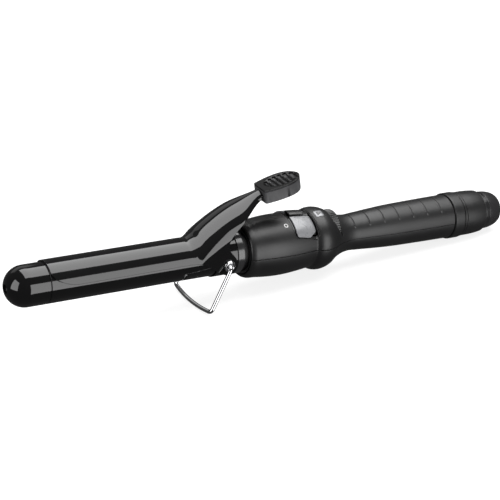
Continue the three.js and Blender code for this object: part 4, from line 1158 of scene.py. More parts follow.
@dataclass
class Skin:
    """The turned outer face of the body, laid out flat as station and way round."""

    profile: Profile
    scale: float = 16.0
    widest: float = 0.985

    def face(
        self, offset: float = 0.0,
        relief: Callable[[np.ndarray, np.ndarray], np.ndarray] | None = None,
        down: bool = False,
    ) -> Surface:
        """The skin, or a copy of it that stands proud.

        Args:
            offset: How far the copy is outside the skin.
            relief: Added to the offset, from the stations and the angles in radians.
            down: Lays it out from the bottom instead of the top.

        Returns:
            A surface for Sheet.
        """
        side = -1.0 if down else 1.0

        def place(flat: np.ndarray) -> np.ndarray:
            """A spot outside the skin."""
            x, a = flat[:, 0], flat[:, 1] / self.scale
            r = self.profile.at(x) + offset
            if relief is not None:
                r = r + relief(x, a)
            return np.stack([x, side * r * np.sin(a), side * r * np.cos(a)], 1)

        return place

    def floor(self, z: float) -> Surface:
        """Straight down from the skin to a level."""

        def place(flat: np.ndarray) -> np.ndarray:
            """The spot under the skin, at the level."""
            x = flat[:, 0]
            y = self.profile.at(x) * np.sin(flat[:, 1] / self.scale)
            return np.stack([x, y, np.full(len(x), z)], 1)

        return place

    def round_at(self, degrees: float) -> float:
        """The way round for an angle from the top."""
        return self.scale * math.radians(degrees)

    def across_at(self, x: float, y: float) -> float:
        """The way round at which the skin is `y` across the iron."""
        share = y / float(self.profile.at(x))
        return self.scale * math.asin(max(-self.widest, min(self.widest, share)))

    def spread(self, x: float) -> float:
        """Way round for each millimetre measured on the skin at a station."""
        return self.scale / float(self.profile.at(x))

    def strip(self, x0: float, x1: float, y0: float, y1: float, count: int = 10) -> list[Point]:
        """The outline of what lies between two stations and two straight side planes.

        Args:
            x0: Its front.
            x1: Its rear.
            y0: Its low side.
            y1: Its high side.
            count: How many points each end has.

        Returns:
            The outline's points.
        """
        xs = np.linspace(x0, x1, count)
        near = [(float(x), self.across_at(x, y0)) for x in xs]
        far = [(float(x), self.across_at(x, y1)) for x in reversed(xs)]
        return [*near, *far]


def flat_at(z: float) -> Surface:
    """A level plane, laid out as x and y."""
    return lambda flat: np.stack([flat[:, 0], flat[:, 1], np.full(len(flat), z)], 1)


def smoothstep(value: np.ndarray | float, low: float, high: float) -> np.ndarray:
    """0 below `low`, 1 above `high` and a smooth rise between."""
    t = np.clip((np.asarray(value, float) - low) / (high - low), 0.0, 1.0)
    return t * t * (3 - 2 * t)


# ---------------------------------------------------------------- barrel


@dataclass
class Barrel:
    """The heated barrel with its tip, collar and pivot band, and what is inside it."""

    shop: Workshop
    wall: float = 1.0
    ease: float = 0.3
    rivet_room: float = 2.9
    bore_reach: float = 20.0
    tip_screw_room: float = 2.7
    tip_recess: float = 4.6
    tip_bore: float = 1.6
    shank: float = 1.3
    cross_depth: float = 0.95
    cross_half: Point = (0.32, 1.6)

    def build(self) -> None:
        """Makes the turned pieces."""
        axis, shop = self.shop.axis, self.shop
        tube, collar, sleeve = (
            axis.span(node) for node in ("barrel_tube", "barrel_collar", "pivot_band")
        )
        r, room, far = tube.radius, self.rivet_room, self.bore_reach
        bore = lathe([(-far, 0.0), (-far, room), (far, room), (far, 0.0)], 48)
        across = Matrix.Rotation(math.pi / 2, 4, "Z")
        hole = bore.moved(Matrix.Translation(axis.pivot("clamp_hinge")) @ across)
        barrel = shop.piece(
            "barrel", band(tube, r - self.wall, self.ease), "handle", Look.CERAMIC_COAT,
            ["barrel_tube"],
        )
        shop.pierce(barrel, hole)
        self._tip(r, tube.front)
        shop.piece(
            "collar", band(collar, r + GAP, 0.35), "handle", Look.COLLAR_GLOSS, ["barrel_collar"]
        )
        made = shop.piece(
            "pivot_sleeve", band(sleeve, r + GAP, 0.2), "handle", Look.CERAMIC_COAT,
            ["pivot_band"],
        )
        shop.pierce(made, hole)

    def _tip(self, r: float, seam: float) -> None:
        """The domed tip with its screw recess and spigot, and the screw.

        Args:
            r: The barrel's radius.
            seam: The station where the barrel starts.
        """
        axis, room = self.shop.axis, self.tip_screw_room
        rear = axis.span("tip_cap").rear
        start = math.asin(room / r)
        dome = [
            (r * (1 - math.cos(a)), r * math.sin(a), 0.0)
            for a in np.linspace(start + 0.03, math.pi / 2, 28)
        ]
        edge, spigot = seam - GAP, r - self.wall - GAP
        outline = rounded([
            (self.tip_recess, self.tip_bore, 0.1), (self.tip_recess, room, 0.2),
            (r * (1 - math.cos(start)), room, 0.12), *dome,
            (edge, r, self.ease), (edge, spigot, 0.1), (rear, spigot, 0.3),
            (rear, self.tip_bore, 0.1),
        ])
        self.shop.piece("tip", lathe(outline), "handle", Look.CERAMIC_COAT, ["tip_cap"])
        screw = axis.span("tip_screw")
        head, seat, shank = screw.radius, self.tip_recess - GAP, self.shank
        made = self.shop.piece(
            "tip_fastener",
            lathe(rounded([
                (screw.front, 0.0, 0.0), (screw.front + 0.05, 0.6 * head, 0.3),
                (screw.front + 0.35, head, 0.4), (seat, head, 0.1), (seat, shank, 0.1),
                (screw.rear, shank, 0.2), (screw.rear, 0.0, 0.0),
            ]), 64),
            "handle", Look.ZINC_STEEL, ["tip_screw"],
        )
        y, z = self.cross_half
        slot = block_draft((-3.0, -y, -z), (screw.front + self.cross_depth, y, z))
        for turn in (0.0, math.pi / 2):
            self.shop.pierce(made, slot.moved(Matrix.Rotation(turn, 4, "X")))

    def dress(self) -> None:
        """Paints the heater and the rest of what is inside."""
        shop = self.shop
        shop.dress(Look.CERAMIC_WHITE, "front_spacer", "heater_bar", "thermal_fuse")
        shop.dress(Look.PLAIN_ALUMINIUM, "electrode_upper", "electrode_lower")
        shop.dress(Look.PLAIN_ALUMINIUM, "heat_spreader_upper", "heat_spreader_lower")
        shop.dress(Look.LEAD_SLEEVE, "heater_sleeve", "thermistor", "sensor_lead")
        shop.dress(Look.LEAD_SLEEVE, "heater_lead_live", "heater_lead_neutral")
        shop.dress(Look.HEAT_BLACK, "insulator_bush")


# ---------------------------------------------------------------- clamp


@dataclass
class Clamp:
    """The pressed clamp and lever, its thumb rest and the leaf spring under it."""

    shop: Workshop
    thickness: float = 0.7
    edge_z: float = 2.0
    corner: float = 17.0
    legs: float = 18.0
    ear_spread: float = 0.8
    ear_r: float = 6.3
    rivet_room: float = 2.9
    taper_begin: float = 6.5
    lever_reach: float = 24.6
    lever_half_width: float = 5.4
    lever_edge: float = 20.2
    rise: tuple[Point, ...] = (
        (-26.0, 0.0), (-22.4, 0.0), (-19.6, 1.4), (-16.4, 4.5), (-9.0, 10.0),
        (2.0, 16.4), (14.0, 21.3), (24.6, 25.0),
    )
    rest_rise: float = 26.5
    rest_setback: float = 0.7
    rest_tilt: float = 12.5
    rest_length: float = 28.0
    rest_half_width: float = 7.2
    rest_thickness: float = 8.7
    rest_bow: float = 2.2
    rest_corner: float = 1.8
    block_depth: float = 7.4
    tongue: tuple[float, float, float] = (-3.0, 14.0, 4.6)
    tongue_thickness: float = 0.9
    pad_thickness: float = 1.15
    pad_seam: float = 0.12
    dish_depth: float = 1.1
    dish_middle: float = 15.6
    dish_reach: Point = (11.6, 7.0)
    slot_reach: float = 6.2
    ribs: int = 5
    rib_pitch: float = 3.5
    rib_width: float = 1.25
    first_rib: float = 8.6
    spring_t: float = 0.5
    spring_half_width: float = 3.6
    spring_foot: Point = (-10.0, 5.0)
    fold_r: float = 1.6
    saddle: tuple[float, float, float] = (-2.0, 6.2, 7.0)

    def __post_init__(self) -> None:
        """Reads where the clamp lies."""
        axis = self.shop.axis
        self.pivot = axis.pivot("clamp_hinge")
        self.front = axis.span("clamp").front
        self.r = axis.span("barrel_tube").radius + GAP + self.thickness
        self.crest = Profile([
            (self.front - 1.0, self.r),
            *((self.pivot.x + dx, self.r + up) for dx, up in self.rise),
        ])
        self.tip = self.pivot.x + self.lever_reach
        place = Vector((self.tip + self.rest_setback, 0.0, self.r + self.rest_rise))
        tilt = Matrix.Rotation(-math.radians(self.rest_tilt), 4, "Y")
        self.rest_place = Matrix.Translation(place) @ tilt

    def _half_width(self, x: np.ndarray) -> np.ndarray:
        """Half-width of the arch: the spoon, the ears, then the narrowing lever."""
        px = self.pivot.x
        ears = self.r + self.ear_spread * smoothstep(x, px - 27.0, px - 9.0)
        share = smoothstep(x, px + self.taper_begin, self.tip)
        return ears + (self.lever_half_width - ears) * share

    def _surface(self, flat: np.ndarray) -> np.ndarray:
        """The outer face: an arch along the crest, with straight legs below the axis."""
        x, v = flat[:, 0], flat[:, 1]
        quarter = 0.5 * math.pi * self.r
        a = np.clip(v, -quarter, quarter) / self.r
        below = np.maximum(np.abs(v) - quarter, 0.0)
        w, h = self._half_width(x), self.crest.at(x)
        return np.stack([x, w * np.sin(a), h - w * (1 - np.cos(a)) - below], 1)

    def _way_down(self, x: float, z: float) -> float:
        """How far round from the crest the outer face is at a height.

        Args:
            x: The station.
            z: The height.

        Returns:
            The way round, laid out flat.
        """
        w, h = float(self._half_width(np.array(x))), float(self.crest.at(x))
        if z <= h - w:
            return 0.5 * math.pi * self.r + h - w - z
        return self.r * math.acos(min(1.0, 1 - (h - z) / w))

    def _outline(self) -> list[Point]:
        """The trimmed edge, laid out flat.

        Returns:
            The edge, as stations and ways round.
        """
        px, pz = self.pivot.x, self.pivot.z
        edge, corner, front = self.edge_z, self.corner, self.front
        side = [(front, edge + 0.5 * corner)]
        side += bezier([
            side[0], (front, edge + 0.32 * corner),
            (front + 0.44 * corner, edge + 0.03 * corner), (front + corner, edge),
        ], 24)
        side.append((px - 24, edge))
        side += bezier(
            [side[-1], (px - 15, edge), (px - 12, pz), (px - 5.2, pz - 0.8 * self.ear_r)], 20
        )
        for degrees in range(-126, 6, 5):
            a = math.radians(degrees)
            side.append((px + self.ear_r * math.cos(a), pz + self.ear_r * math.sin(a)))
        side += bezier(
            [side[-1], (px + 5, pz + 6.5), (px - 1.8, pz + 8), (px - 0.8, pz + 14.5)], 24
        )
        side += bezier([
            side[-1], (px + 0.5, pz + 21), (px + 12, pz + 29),
            (self.tip, self.r + self.lever_edge),
        ], 28)
        down = [(x, self._way_down(x, z)) for x, z in side]
        return [*((x, -v) for x, v in down), *reversed(down)]

    def _rivet_hole(self, side: float) -> list[Point]:
        """The hole for one rivet, laid out flat."""
        ring = circle(self.pivot.x, self.pivot.z, self.rivet_room, 36)
        return [(x, side * self._way_down(x, z)) for x, z in ring]

    def build(self) -> None:
        """Makes the sheet, the thumb rest and the spring."""
        px = self.pivot.x
        quarter = 0.5 * math.pi * self.r
        xs = [*ruled(self.front, px - 27, 2.5), *ruled(px - 26, self.tip, 0.9)]
        reach = quarter + self.legs
        sheet = Sheet(
            self._surface, self._outline(), [self._rivet_hole(1.0), self._rivet_hole(-1.0)],
            xs, ruled(-reach, reach, 0.95, (-quarter, quarter), 0.5, 1),
            depth=self.thickness, edge=0.24, step=0.9, round_under=True,
        )
        self.shop.piece("clamp_arm", sheet, "clamp", Look.CLAMP_COAT, ["clamp"])
        start, end, half = self.tongue
        level = 0.5 * (self.tongue_thickness - self.rest_thickness)
        tongue = Sheet(
            flat_at(level), rounded_box(start, end, -half, half, 1.0),
            depth=self.tongue_thickness, edge=0.15, step=1.5, round_under=True,
        )
        self.shop.piece(
            "lever_tongue", tongue, "clamp", Look.CLAMP_COAT, place=self.rest_place
        )
        self._thumb_rest()
        self._spring()

    def _plan(self) -> list[Point]:
        """Plan of the thumb rest: straight front, bowed sides and a round back."""
        w, back, c = self.rest_half_width, self.rest_length, self.rest_corner
        bow = w + self.rest_bow
        half = [(0.0, w - c)]
        half += bezier([half[0], (0.0, w), (c, w)], 8)
        half += bezier([half[-1], (0.45 * back, bow), (0.8 * back, bow),
                        (0.93 * back, 0.6 * w)], 24)
        half += bezier([half[-1], (back, 0.3 * w), (back, 0.0)], 10)
        return [*((x, -y) for x, y in half), *reversed(half[:-1])]

    def _dish(self, level: float) -> Surface:
        """The dished top of the thumb rest, at a depth below its rim."""

        def place(flat: np.ndarray) -> np.ndarray:
            """A spot on the dished top."""
            u, y = flat[:, 0], flat[:, 1]
            away = ((u - self.dish_middle) / self.dish_reach[0]) ** 2
            away = away + (y / self.dish_reach[1]) ** 2
            z = level - self.dish_depth * smoothstep(1.0 - away, 0.0, 0.55)
            return np.stack([u, y, z], 1)

        return place

    def _slots(self) -> list[list[Point]]:
        """The slots between the pad's ribs, in an oval.

        Returns:
            An outline for each slot.
        """
        half = 0.5 * self.rib_width
        centres = [self.first_rib + i * self.rib_pitch for i in range(self.ribs)]
        starts = [centres[0] - self.rib_pitch + half, *(c + half for c in centres)]
        slots = []
        for start in starts:
            end = start + self.rib_pitch - self.rib_width
            away = (0.5 * (start + end) - self.dish_middle) / self.dish_reach[0]
            reach = self.slot_reach * math.sqrt(max(0.05, 1 - away**2))
            slots.append(rounded_box(start, end, -reach, reach, 0.75))
        return slots

    def _thumb_rest(self) -> None:
        """The block that grips the lever's tongue, and the ribbed pad on it."""
        plan = self._plan()
        us = ruled(0.4, self.rest_length - 0.3, 0.8)
        ys = ruled(-8.4, 8.4, 0.7)
        seam = -self.pad_thickness - self.pad_seam
        block = Sheet(
            self._dish(seam), plan, [], us, ys, depth=self.block_depth, edge=0.3, step=0.7,
            under=flat_at(-self.rest_thickness),
        )
        pad = Sheet(
            self._dish(0.0), plan, self._slots(), us, ys, depth=self.pad_thickness,
            edge=0.32, step=0.6, rim_steps=4,
        )
        place = self.rest_place
        self.shop.piece(
            "thumb_rest_block", block, "clamp", Look.SATIN_REST, ["thumb_rest"], place
        )
        self.shop.piece("thumb_rest_pad", pad, "clamp", Look.REST_INSERT, place=place)

    def _spring(self) -> None:
        """The bent leaf between the barrel's sleeve and the lever, and its saddle."""
        axis = self.shop.axis
        leaf = axis.span("clamp_spring")
        sleeve = axis.span("pivot_band").radius
        px, t = self.pivot.x, self.spring_t
        seat, r = sleeve + 0.1 + t, self.fold_r
        front, foot = (px + reach for reach in self.spring_foot)
        tip = (leaf.rear, leaf.high.z)
        path = [(foot, seat + t), *bezier([(foot, seat + t), (front, seat + t)], 12)]
        path += bezier([
            path[-1], (front - 1.8 * r, seat + t), (front - 1.5 * r, seat + 2 * r),
            (front + 0.4 * r, seat + 2.6 * r),
        ], 16)
        path += bezier([path[-1], (px, seat + 9.0), tip], 24)
        path.reverse()
        xs, zs = np.array(path).T
        steps = np.hypot(np.diff(xs), np.diff(zs))
        run = np.concatenate([[0.0], np.cumsum(steps)])

        def place(flat: np.ndarray) -> np.ndarray:
            """A spot on the strip, bent along its path."""
            s, y = flat[:, 0], flat[:, 1]
            return np.stack([np.interp(s, run, xs), y, np.interp(s, run, zs)], 1)

        w = self.spring_half_width
        strip = Sheet(
            place, rounded_box(0.2, float(run[-1]), -w, w, 1.2), [],
            ruled(0.4, float(run[-1]) - 0.3, 0.5), ruled(-w + 0.4, w - 0.4, 0.8),
            depth=t, edge=0.12, step=0.6, round_under=True,
        )
        made = self.shop.loose("spring_leaf", strip.draft(), Look.SPRING_BRASS)
        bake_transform(made)
        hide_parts("clamp_spring")
        log.info("spring_leaf: bends between handle and clamp")
        self._saddle(sleeve + 0.06 + t)

    def _saddle(self, r: float) -> None:
        """The strap over the sleeve that holds the spring's foot down."""
        px = self.pivot.x

        def strap(flat: np.ndarray) -> np.ndarray:
            """A spot on the strap, bent over the sleeve."""
            a = flat[:, 1] / r
            return np.stack([flat[:, 0], r * np.sin(a), r * np.cos(a)], 1)

        start, end, w = self.saddle
        sheet = Sheet(
            strap, rounded_box(px + start, px + end, -w, w, 1.4), [],
            ruled(px + start + 0.4, px + end - 0.4, 1.0), ruled(-w + 0.4, w - 0.4, 0.5),
            depth=self.spring_t, edge=0.14, step=0.5, round_under=True,
        )
        self.shop.piece("spring_saddle", sheet, "handle", Look.SPRING_BRASS)


# ---------------------------------------------------------------- rivets and stand


@dataclass
class Stand:
    """The two tubular rivets and the bent wire that stands the iron up."""

    shop: Workshop
    wire_r: float = 1.3
    lean: float = 31.0
    leg_drop: float = 29.1
    bow: float = 2.2
    half_width: float = 22.25
    bend: float = 2.6
    hook_out: float = 1.6
    corner_share: float = 0.12
    head_height: float = 1.1
    wire_room: float = 0.2
    shank: float = 2.6

    def build(self) -> None:
        """Makes the rivets and the wire."""
        axis = self.shop.axis
        pivot = axis.pivot("stand_hinge")
        rivet = axis.span("rivet_far")
        inner, outer = rivet.low.y, rivet.high.y
        head = 0.5 * (rivet.high.x - rivet.low.x)
        seat = outer - self.head_height
        bore, shank = self.wire_r + self.wire_room, self.shank
        outline = rounded([
            (inner, bore, 0.1), (inner, shank, 0.2), (seat, shank, 0.0), (seat, head, 0.15),
            (outer - 0.35, head, 0.3), (outer, head - 0.8, 0.6), (outer, shank + 0.2, 0.4),
            (outer - 0.55, shank - 0.35, 0.3), (outer - 0.2, bore + 0.45, 0.3),
            (outer - 0.5, bore, 0.3),
        ], 5)
        for name, side in (("near", -1), ("far", 1)):
            turn = Matrix.Rotation(side * math.pi / 2, 4, "Z")
            node = f"rivet_{name}"
            self.shop.piece(
                f"pivot_{node}", lathe(outline, 72), "handle", Look.CHROME, [node],
                Matrix.Translation(pivot) @ turn,
            )
        self._wire(pivot, seat + self.head_height + self.hook_out, inner + 1.0)

    def _wire(self, pivot: Vector, hook: float, inner: float) -> None:
        """The bail's wire: out of a rivet, down a leg, across the bar and back.

        Args:
            pivot: The hinge's place.
            hook: How far out the wire turns down.
            inner: How far out its ends are.
        """
        leg = math.hypot(self.half_width - hook, self.leg_drop)
        deepest = self.leg_drop + 2 * self.bow / (1 + self.corner_share)

        def on_leg(d: float) -> Point:
            """A point of the leg, some way down it."""
            return (hook + (self.half_width - hook) * d / leg, self.leg_drop * d / leg)

        share = self.corner_share
        bar = (self.half_width * (1 - share), self.leg_drop + (deepest - self.leg_drop) * share)
        half: list[Point] = bezier([(inner, 0.0), (hook - self.bend, 0.0)], 8)
        half = [(inner, 0.0), *half]
        half += bezier([half[-1], (hook, 0.0), on_leg(self.bend)], 14)
        half += bezier([half[-1], on_leg(leg - self.bend)], 30)
        half += bezier([half[-1], (self.half_width, self.leg_drop), bar], 14)
        middle = bezier([bar, (0.0, deepest), (-bar[0], bar[1])], 48)[:-1]
        line = [*half, *middle, *((-y, down) for y, down in reversed(half))]
        tilt = Matrix.Rotation(math.radians(self.lean), 4, "Y")
        place = Matrix.Translation(pivot) @ tilt
        path = [place @ Vector((0.0, -y, -down)) for y, down in line]
        self.shop.piece(
            "stand_wire", rod(path, self.wire_r, 28), "stand", Look.CHROME, ["wire_stand"]
        )


# ---------------------------------------------------------------- body


@dataclass
class Body:
    """The two shells with the grip, the index mark, and the screws and board inside."""

    shop: Workshop
    wall: float = 2.0
    split: float = 89.45
    grooves: int = 7
    groove_setback: float = 1.2
    groove_pitch: float = 10.8
    groove_depth: float = 0.55
    groove_half_width: float = 0.75
    groove_half_angle: float = 53.0
    neck_at: float = 78.0
    crease_at: float = 46.5
    recess_r: float = 2.7
    well_wall: float = 1.2
    well_bore: float = 1.6
    mark_half: float = 2.7
    mark_angle: float = -15.0
    mark_room: float = 0.1
    arrow: tuple[float, float, float] = (1.7, -1.5, 1.5)
    switch_room: float = 0.12
    dial_room: float = 0.6
    lip: Point = (0.25, 2.0)
    lip_height: float = 1.5
    spigot_reach: float = 9.5
    spigot_r: Point = (11.3, 12.7)

    def __post_init__(self) -> None:
        """Reads the body's outline from the frame."""
        axis = self.shop.axis
        shell = axis.span("body_shell_lower")
        self.front = shell.front
        self.end = axis.span("tail_band").front - 2 * GAP
        outline = [p for p in axis.outer_profile("body_shell_lower") if p[0] <= self.end + 0.05]
        crease = self.front + self.crease_at
        number = min(range(len(outline)), key=lambda i: abs(outline[i][0] - crease))
        self.skin = Skin(Profile(outline, breaks=number))

    @property
    def groove_stations(self) -> list[float]:
        """Where the grip's grooves are."""
        first = self.front + self.neck_at + self.groove_setback
        return [first + i * self.groove_pitch for i in range(self.grooves)]

    def _relief(self, x: np.ndarray, a: np.ndarray) -> np.ndarray:
        """The grooves across the top of the grip."""
        reach = math.radians(self.groove_half_angle)
        within = 1.0 - smoothstep(np.abs(a), reach - 0.07, reach + 0.03)
        deep = np.zeros(len(x))
        for station in self.groove_stations:
            near = np.clip(1 - ((x - station) / self.groove_half_width) ** 2, 0, 1)
            deep = deep + near**1.3
        return -self.groove_depth * deep * within

    def _dial_slot(self) -> list[Point]:
        """The opening that the dial stands out of.

        Returns:
            The slot's outline.
        """
        axis = self.shop.axis
        dial = axis.span("dial_wheel")
        raise_by = 0.5 * (dial.high.z + dial.low.z)
        room = dial.radius + self.dial_room
        x0, x1 = dial.front - self.dial_room, dial.rear + self.dial_room
        near = []
        for x in np.linspace(x0, x1, 12):
            r = float(self.skin.profile.at(x))
            share = (r**2 + raise_by**2 - room**2) / (2 * raise_by * r)
            near.append((float(x), -self.skin.scale * math.acos(max(-0.2, min(0.8, share)))))
        return [*near, *((x, -v) for x, v in reversed(near))]

    def build(self) -> None:
        """Makes the shells, the lip, the wells, the index mark and the tail's spigot."""
        skin, axis = self.skin, self.shop.axis
        v = skin.round_at(self.split)
        frame_span = axis.span("switch_frame")
        room = self.switch_room
        y = frame_span.radius + room
        opening = skin.strip(frame_span.front - room, frame_span.rear + room, -y, y)
        mark = axis.span("index_mark")
        middle = 0.5 * (mark.front + mark.rear)
        at = skin.round_at(self.mark_angle)
        half_v = self.mark_half * skin.spread(middle)
        half, half_round = self.mark_half + self.mark_room, half_v + self.mark_room
        pocket = rounded_box(
            middle - half, middle + half, at - half_round, at + half_round, 0.35
        )
        first = self.groove_stations[0]
        xs = [*ruled(self.front + 0.2, first - 1.5, 1.1, (self.front + self.crease_at,), 0.3, 2),
              *ruled(first - 1.4, self.end - 0.2, 1.6, self.groove_stations, 0.19, 6)]
        vs = ruled(-v + 0.5, v - 0.5, 1.15)
        outline = [(self.front, -v), (self.end, -v), (self.end, v), (self.front, v)]
        upper = Sheet(
            skin.face(relief=self._relief), outline, [opening, self._dial_slot(), pocket],
            xs, vs, depth=self.wall, edge=0.16, step=0.9,
        )
        self.shop.piece(
            "upper_shell", upper, "handle", Look.SOFT_TOUCH, ["body_shell_upper"]
        )
        screws = [axis.span(f"shell_screw_{i}") for i in range(1, SCREWS + 1)]
        places = [0.5 * (screw.front + screw.rear) for screw in screws]
        rings = [circle(x, 0.0, self.recess_r, 36) for x in places]
        wells = [[(x, y * skin.spread(x)) for x, y in ring] for ring in rings]
        lower = Sheet(
            skin.face(down=True), outline, wells,
            ruled(self.front + 0.2, self.end - 0.2, 1.4, (self.front + self.crease_at,), 0.3, 2),
            vs, depth=self.wall, edge=0.16, step=0.9,
        )
        self.shop.piece(
            "lower_shell", lower, "handle", Look.SOFT_TOUCH, ["body_shell_lower"]
        )
        self._inner_parts(places)
        self._index_mark(middle, at, half_v)

    def _inner_parts(self, places: Sequence[float]) -> None:
        """The front lip, the tail's spigot and the screw wells."""
        axis, skin = self.shop.axis, self.skin
        bore = axis.span("barrel_tube").radius + 0.1
        near, far = (self.front + reach for reach in self.lip)
        top = bore + self.lip_height
        lip = lathe(rounded([
            (near, bore, 0.15), (near, top, 0.0), (far, top, 0.0), (far, bore, 0.15),
        ]), 96)
        root, end = self.end - 1.5, self.end + self.spigot_reach
        inner, outer = self.spigot_r
        spigot = lathe(rounded([
            (root, 11.0, 0.0), (root, 12.0, 0.0), (self.end - 0.2, outer, 0.0),
            (end, outer, 0.2), (end, inner, 0.2),
        ]), 96)
        self.shop.piece("shell_lip", lip, "handle", Look.SOFT_TOUCH)
        self.shop.piece("shell_spigot", spigot, "handle", Look.SOFT_TOUCH)
        for i, x in enumerate(places, 1):
            seat = axis.span(f"shell_screw_{i}").low.z + 1.9
            skin_z = float(skin.profile.at(x)) - self.wall + 0.35
            r, outer, bore = self.recess_r, self.recess_r + self.well_wall, self.well_bore
            well = lathe(rounded([
                (-skin_z, r, 0.0), (-skin_z, outer, 0.0), (seat + 1.0, outer, 0.3),
                (seat + 1.0, bore, 0.0), (seat, bore, 0.1), (seat, r, 0.2),
            ]), 48)
            upright = Matrix.Translation((x, 0.0, 0.0)) @ Matrix.Rotation(-math.pi / 2, 4, "Y")
            self.shop.piece(
                f"screw_well_{i}", well, "handle", Look.SOFT_TOUCH, place=upright
            )

    def _index_mark(self, middle: float, at: float, half_v: float) -> None:
        """The bright plate that the dial is read against, with its arrow.

        Args:
            middle: The plate's station.
            at: Its place round the skin.
            half_v: Half its size round the skin.
        """
        skin, h = self.skin, self.mark_half
        plate = Sheet(
            skin.face(0.05), rounded_box(middle - h, middle + h, at - half_v, at + half_v, 0.3),
            [], ruled(middle - h + 0.3, middle + h - 0.3, 0.7),
            ruled(at - half_v + 0.3, at + half_v - 0.3, 0.7), depth=1.2, edge=0.12, step=0.5,
        )
        self.shop.piece("index_plate", plate, "handle", Look.SILVER_PAINT, ["index_mark"])
        ahead, back, side = self.arrow
        arrow = Sheet(
            skin.face(0.1),
            [(middle + ahead, at), (middle + back, at + side), (middle + back, at - side)],
            [], ruled(middle - 1.3, middle + 1.2, 0.5), ruled(at - 1.2, at + 1.2, 0.5),
            depth=0.12, edge=0.04, step=0.3,
        )
        self.shop.piece("index_arrow", arrow, "handle", Look.TRIM_GLOSS)

    def dress(self) -> None:
        """Paints the screws, the board and the rest inside."""
        shop = self.shop
        shop.dress(Look.ZINC_STEEL, *(f"shell_screw_{i}" for i in range(1, SCREWS + 1)))
        shop.dress(Look.BOARD_LACQUER, "circuit_board")
        shop.dress(Look.COMPONENT_SHELL, "film_capacitor", "triac", "switch_module")
        shop.dress(Look.LEAD_SLEEVE, "supply_lead_live", "supply_lead_neutral")


# ---------------------------------------------------------------- switch


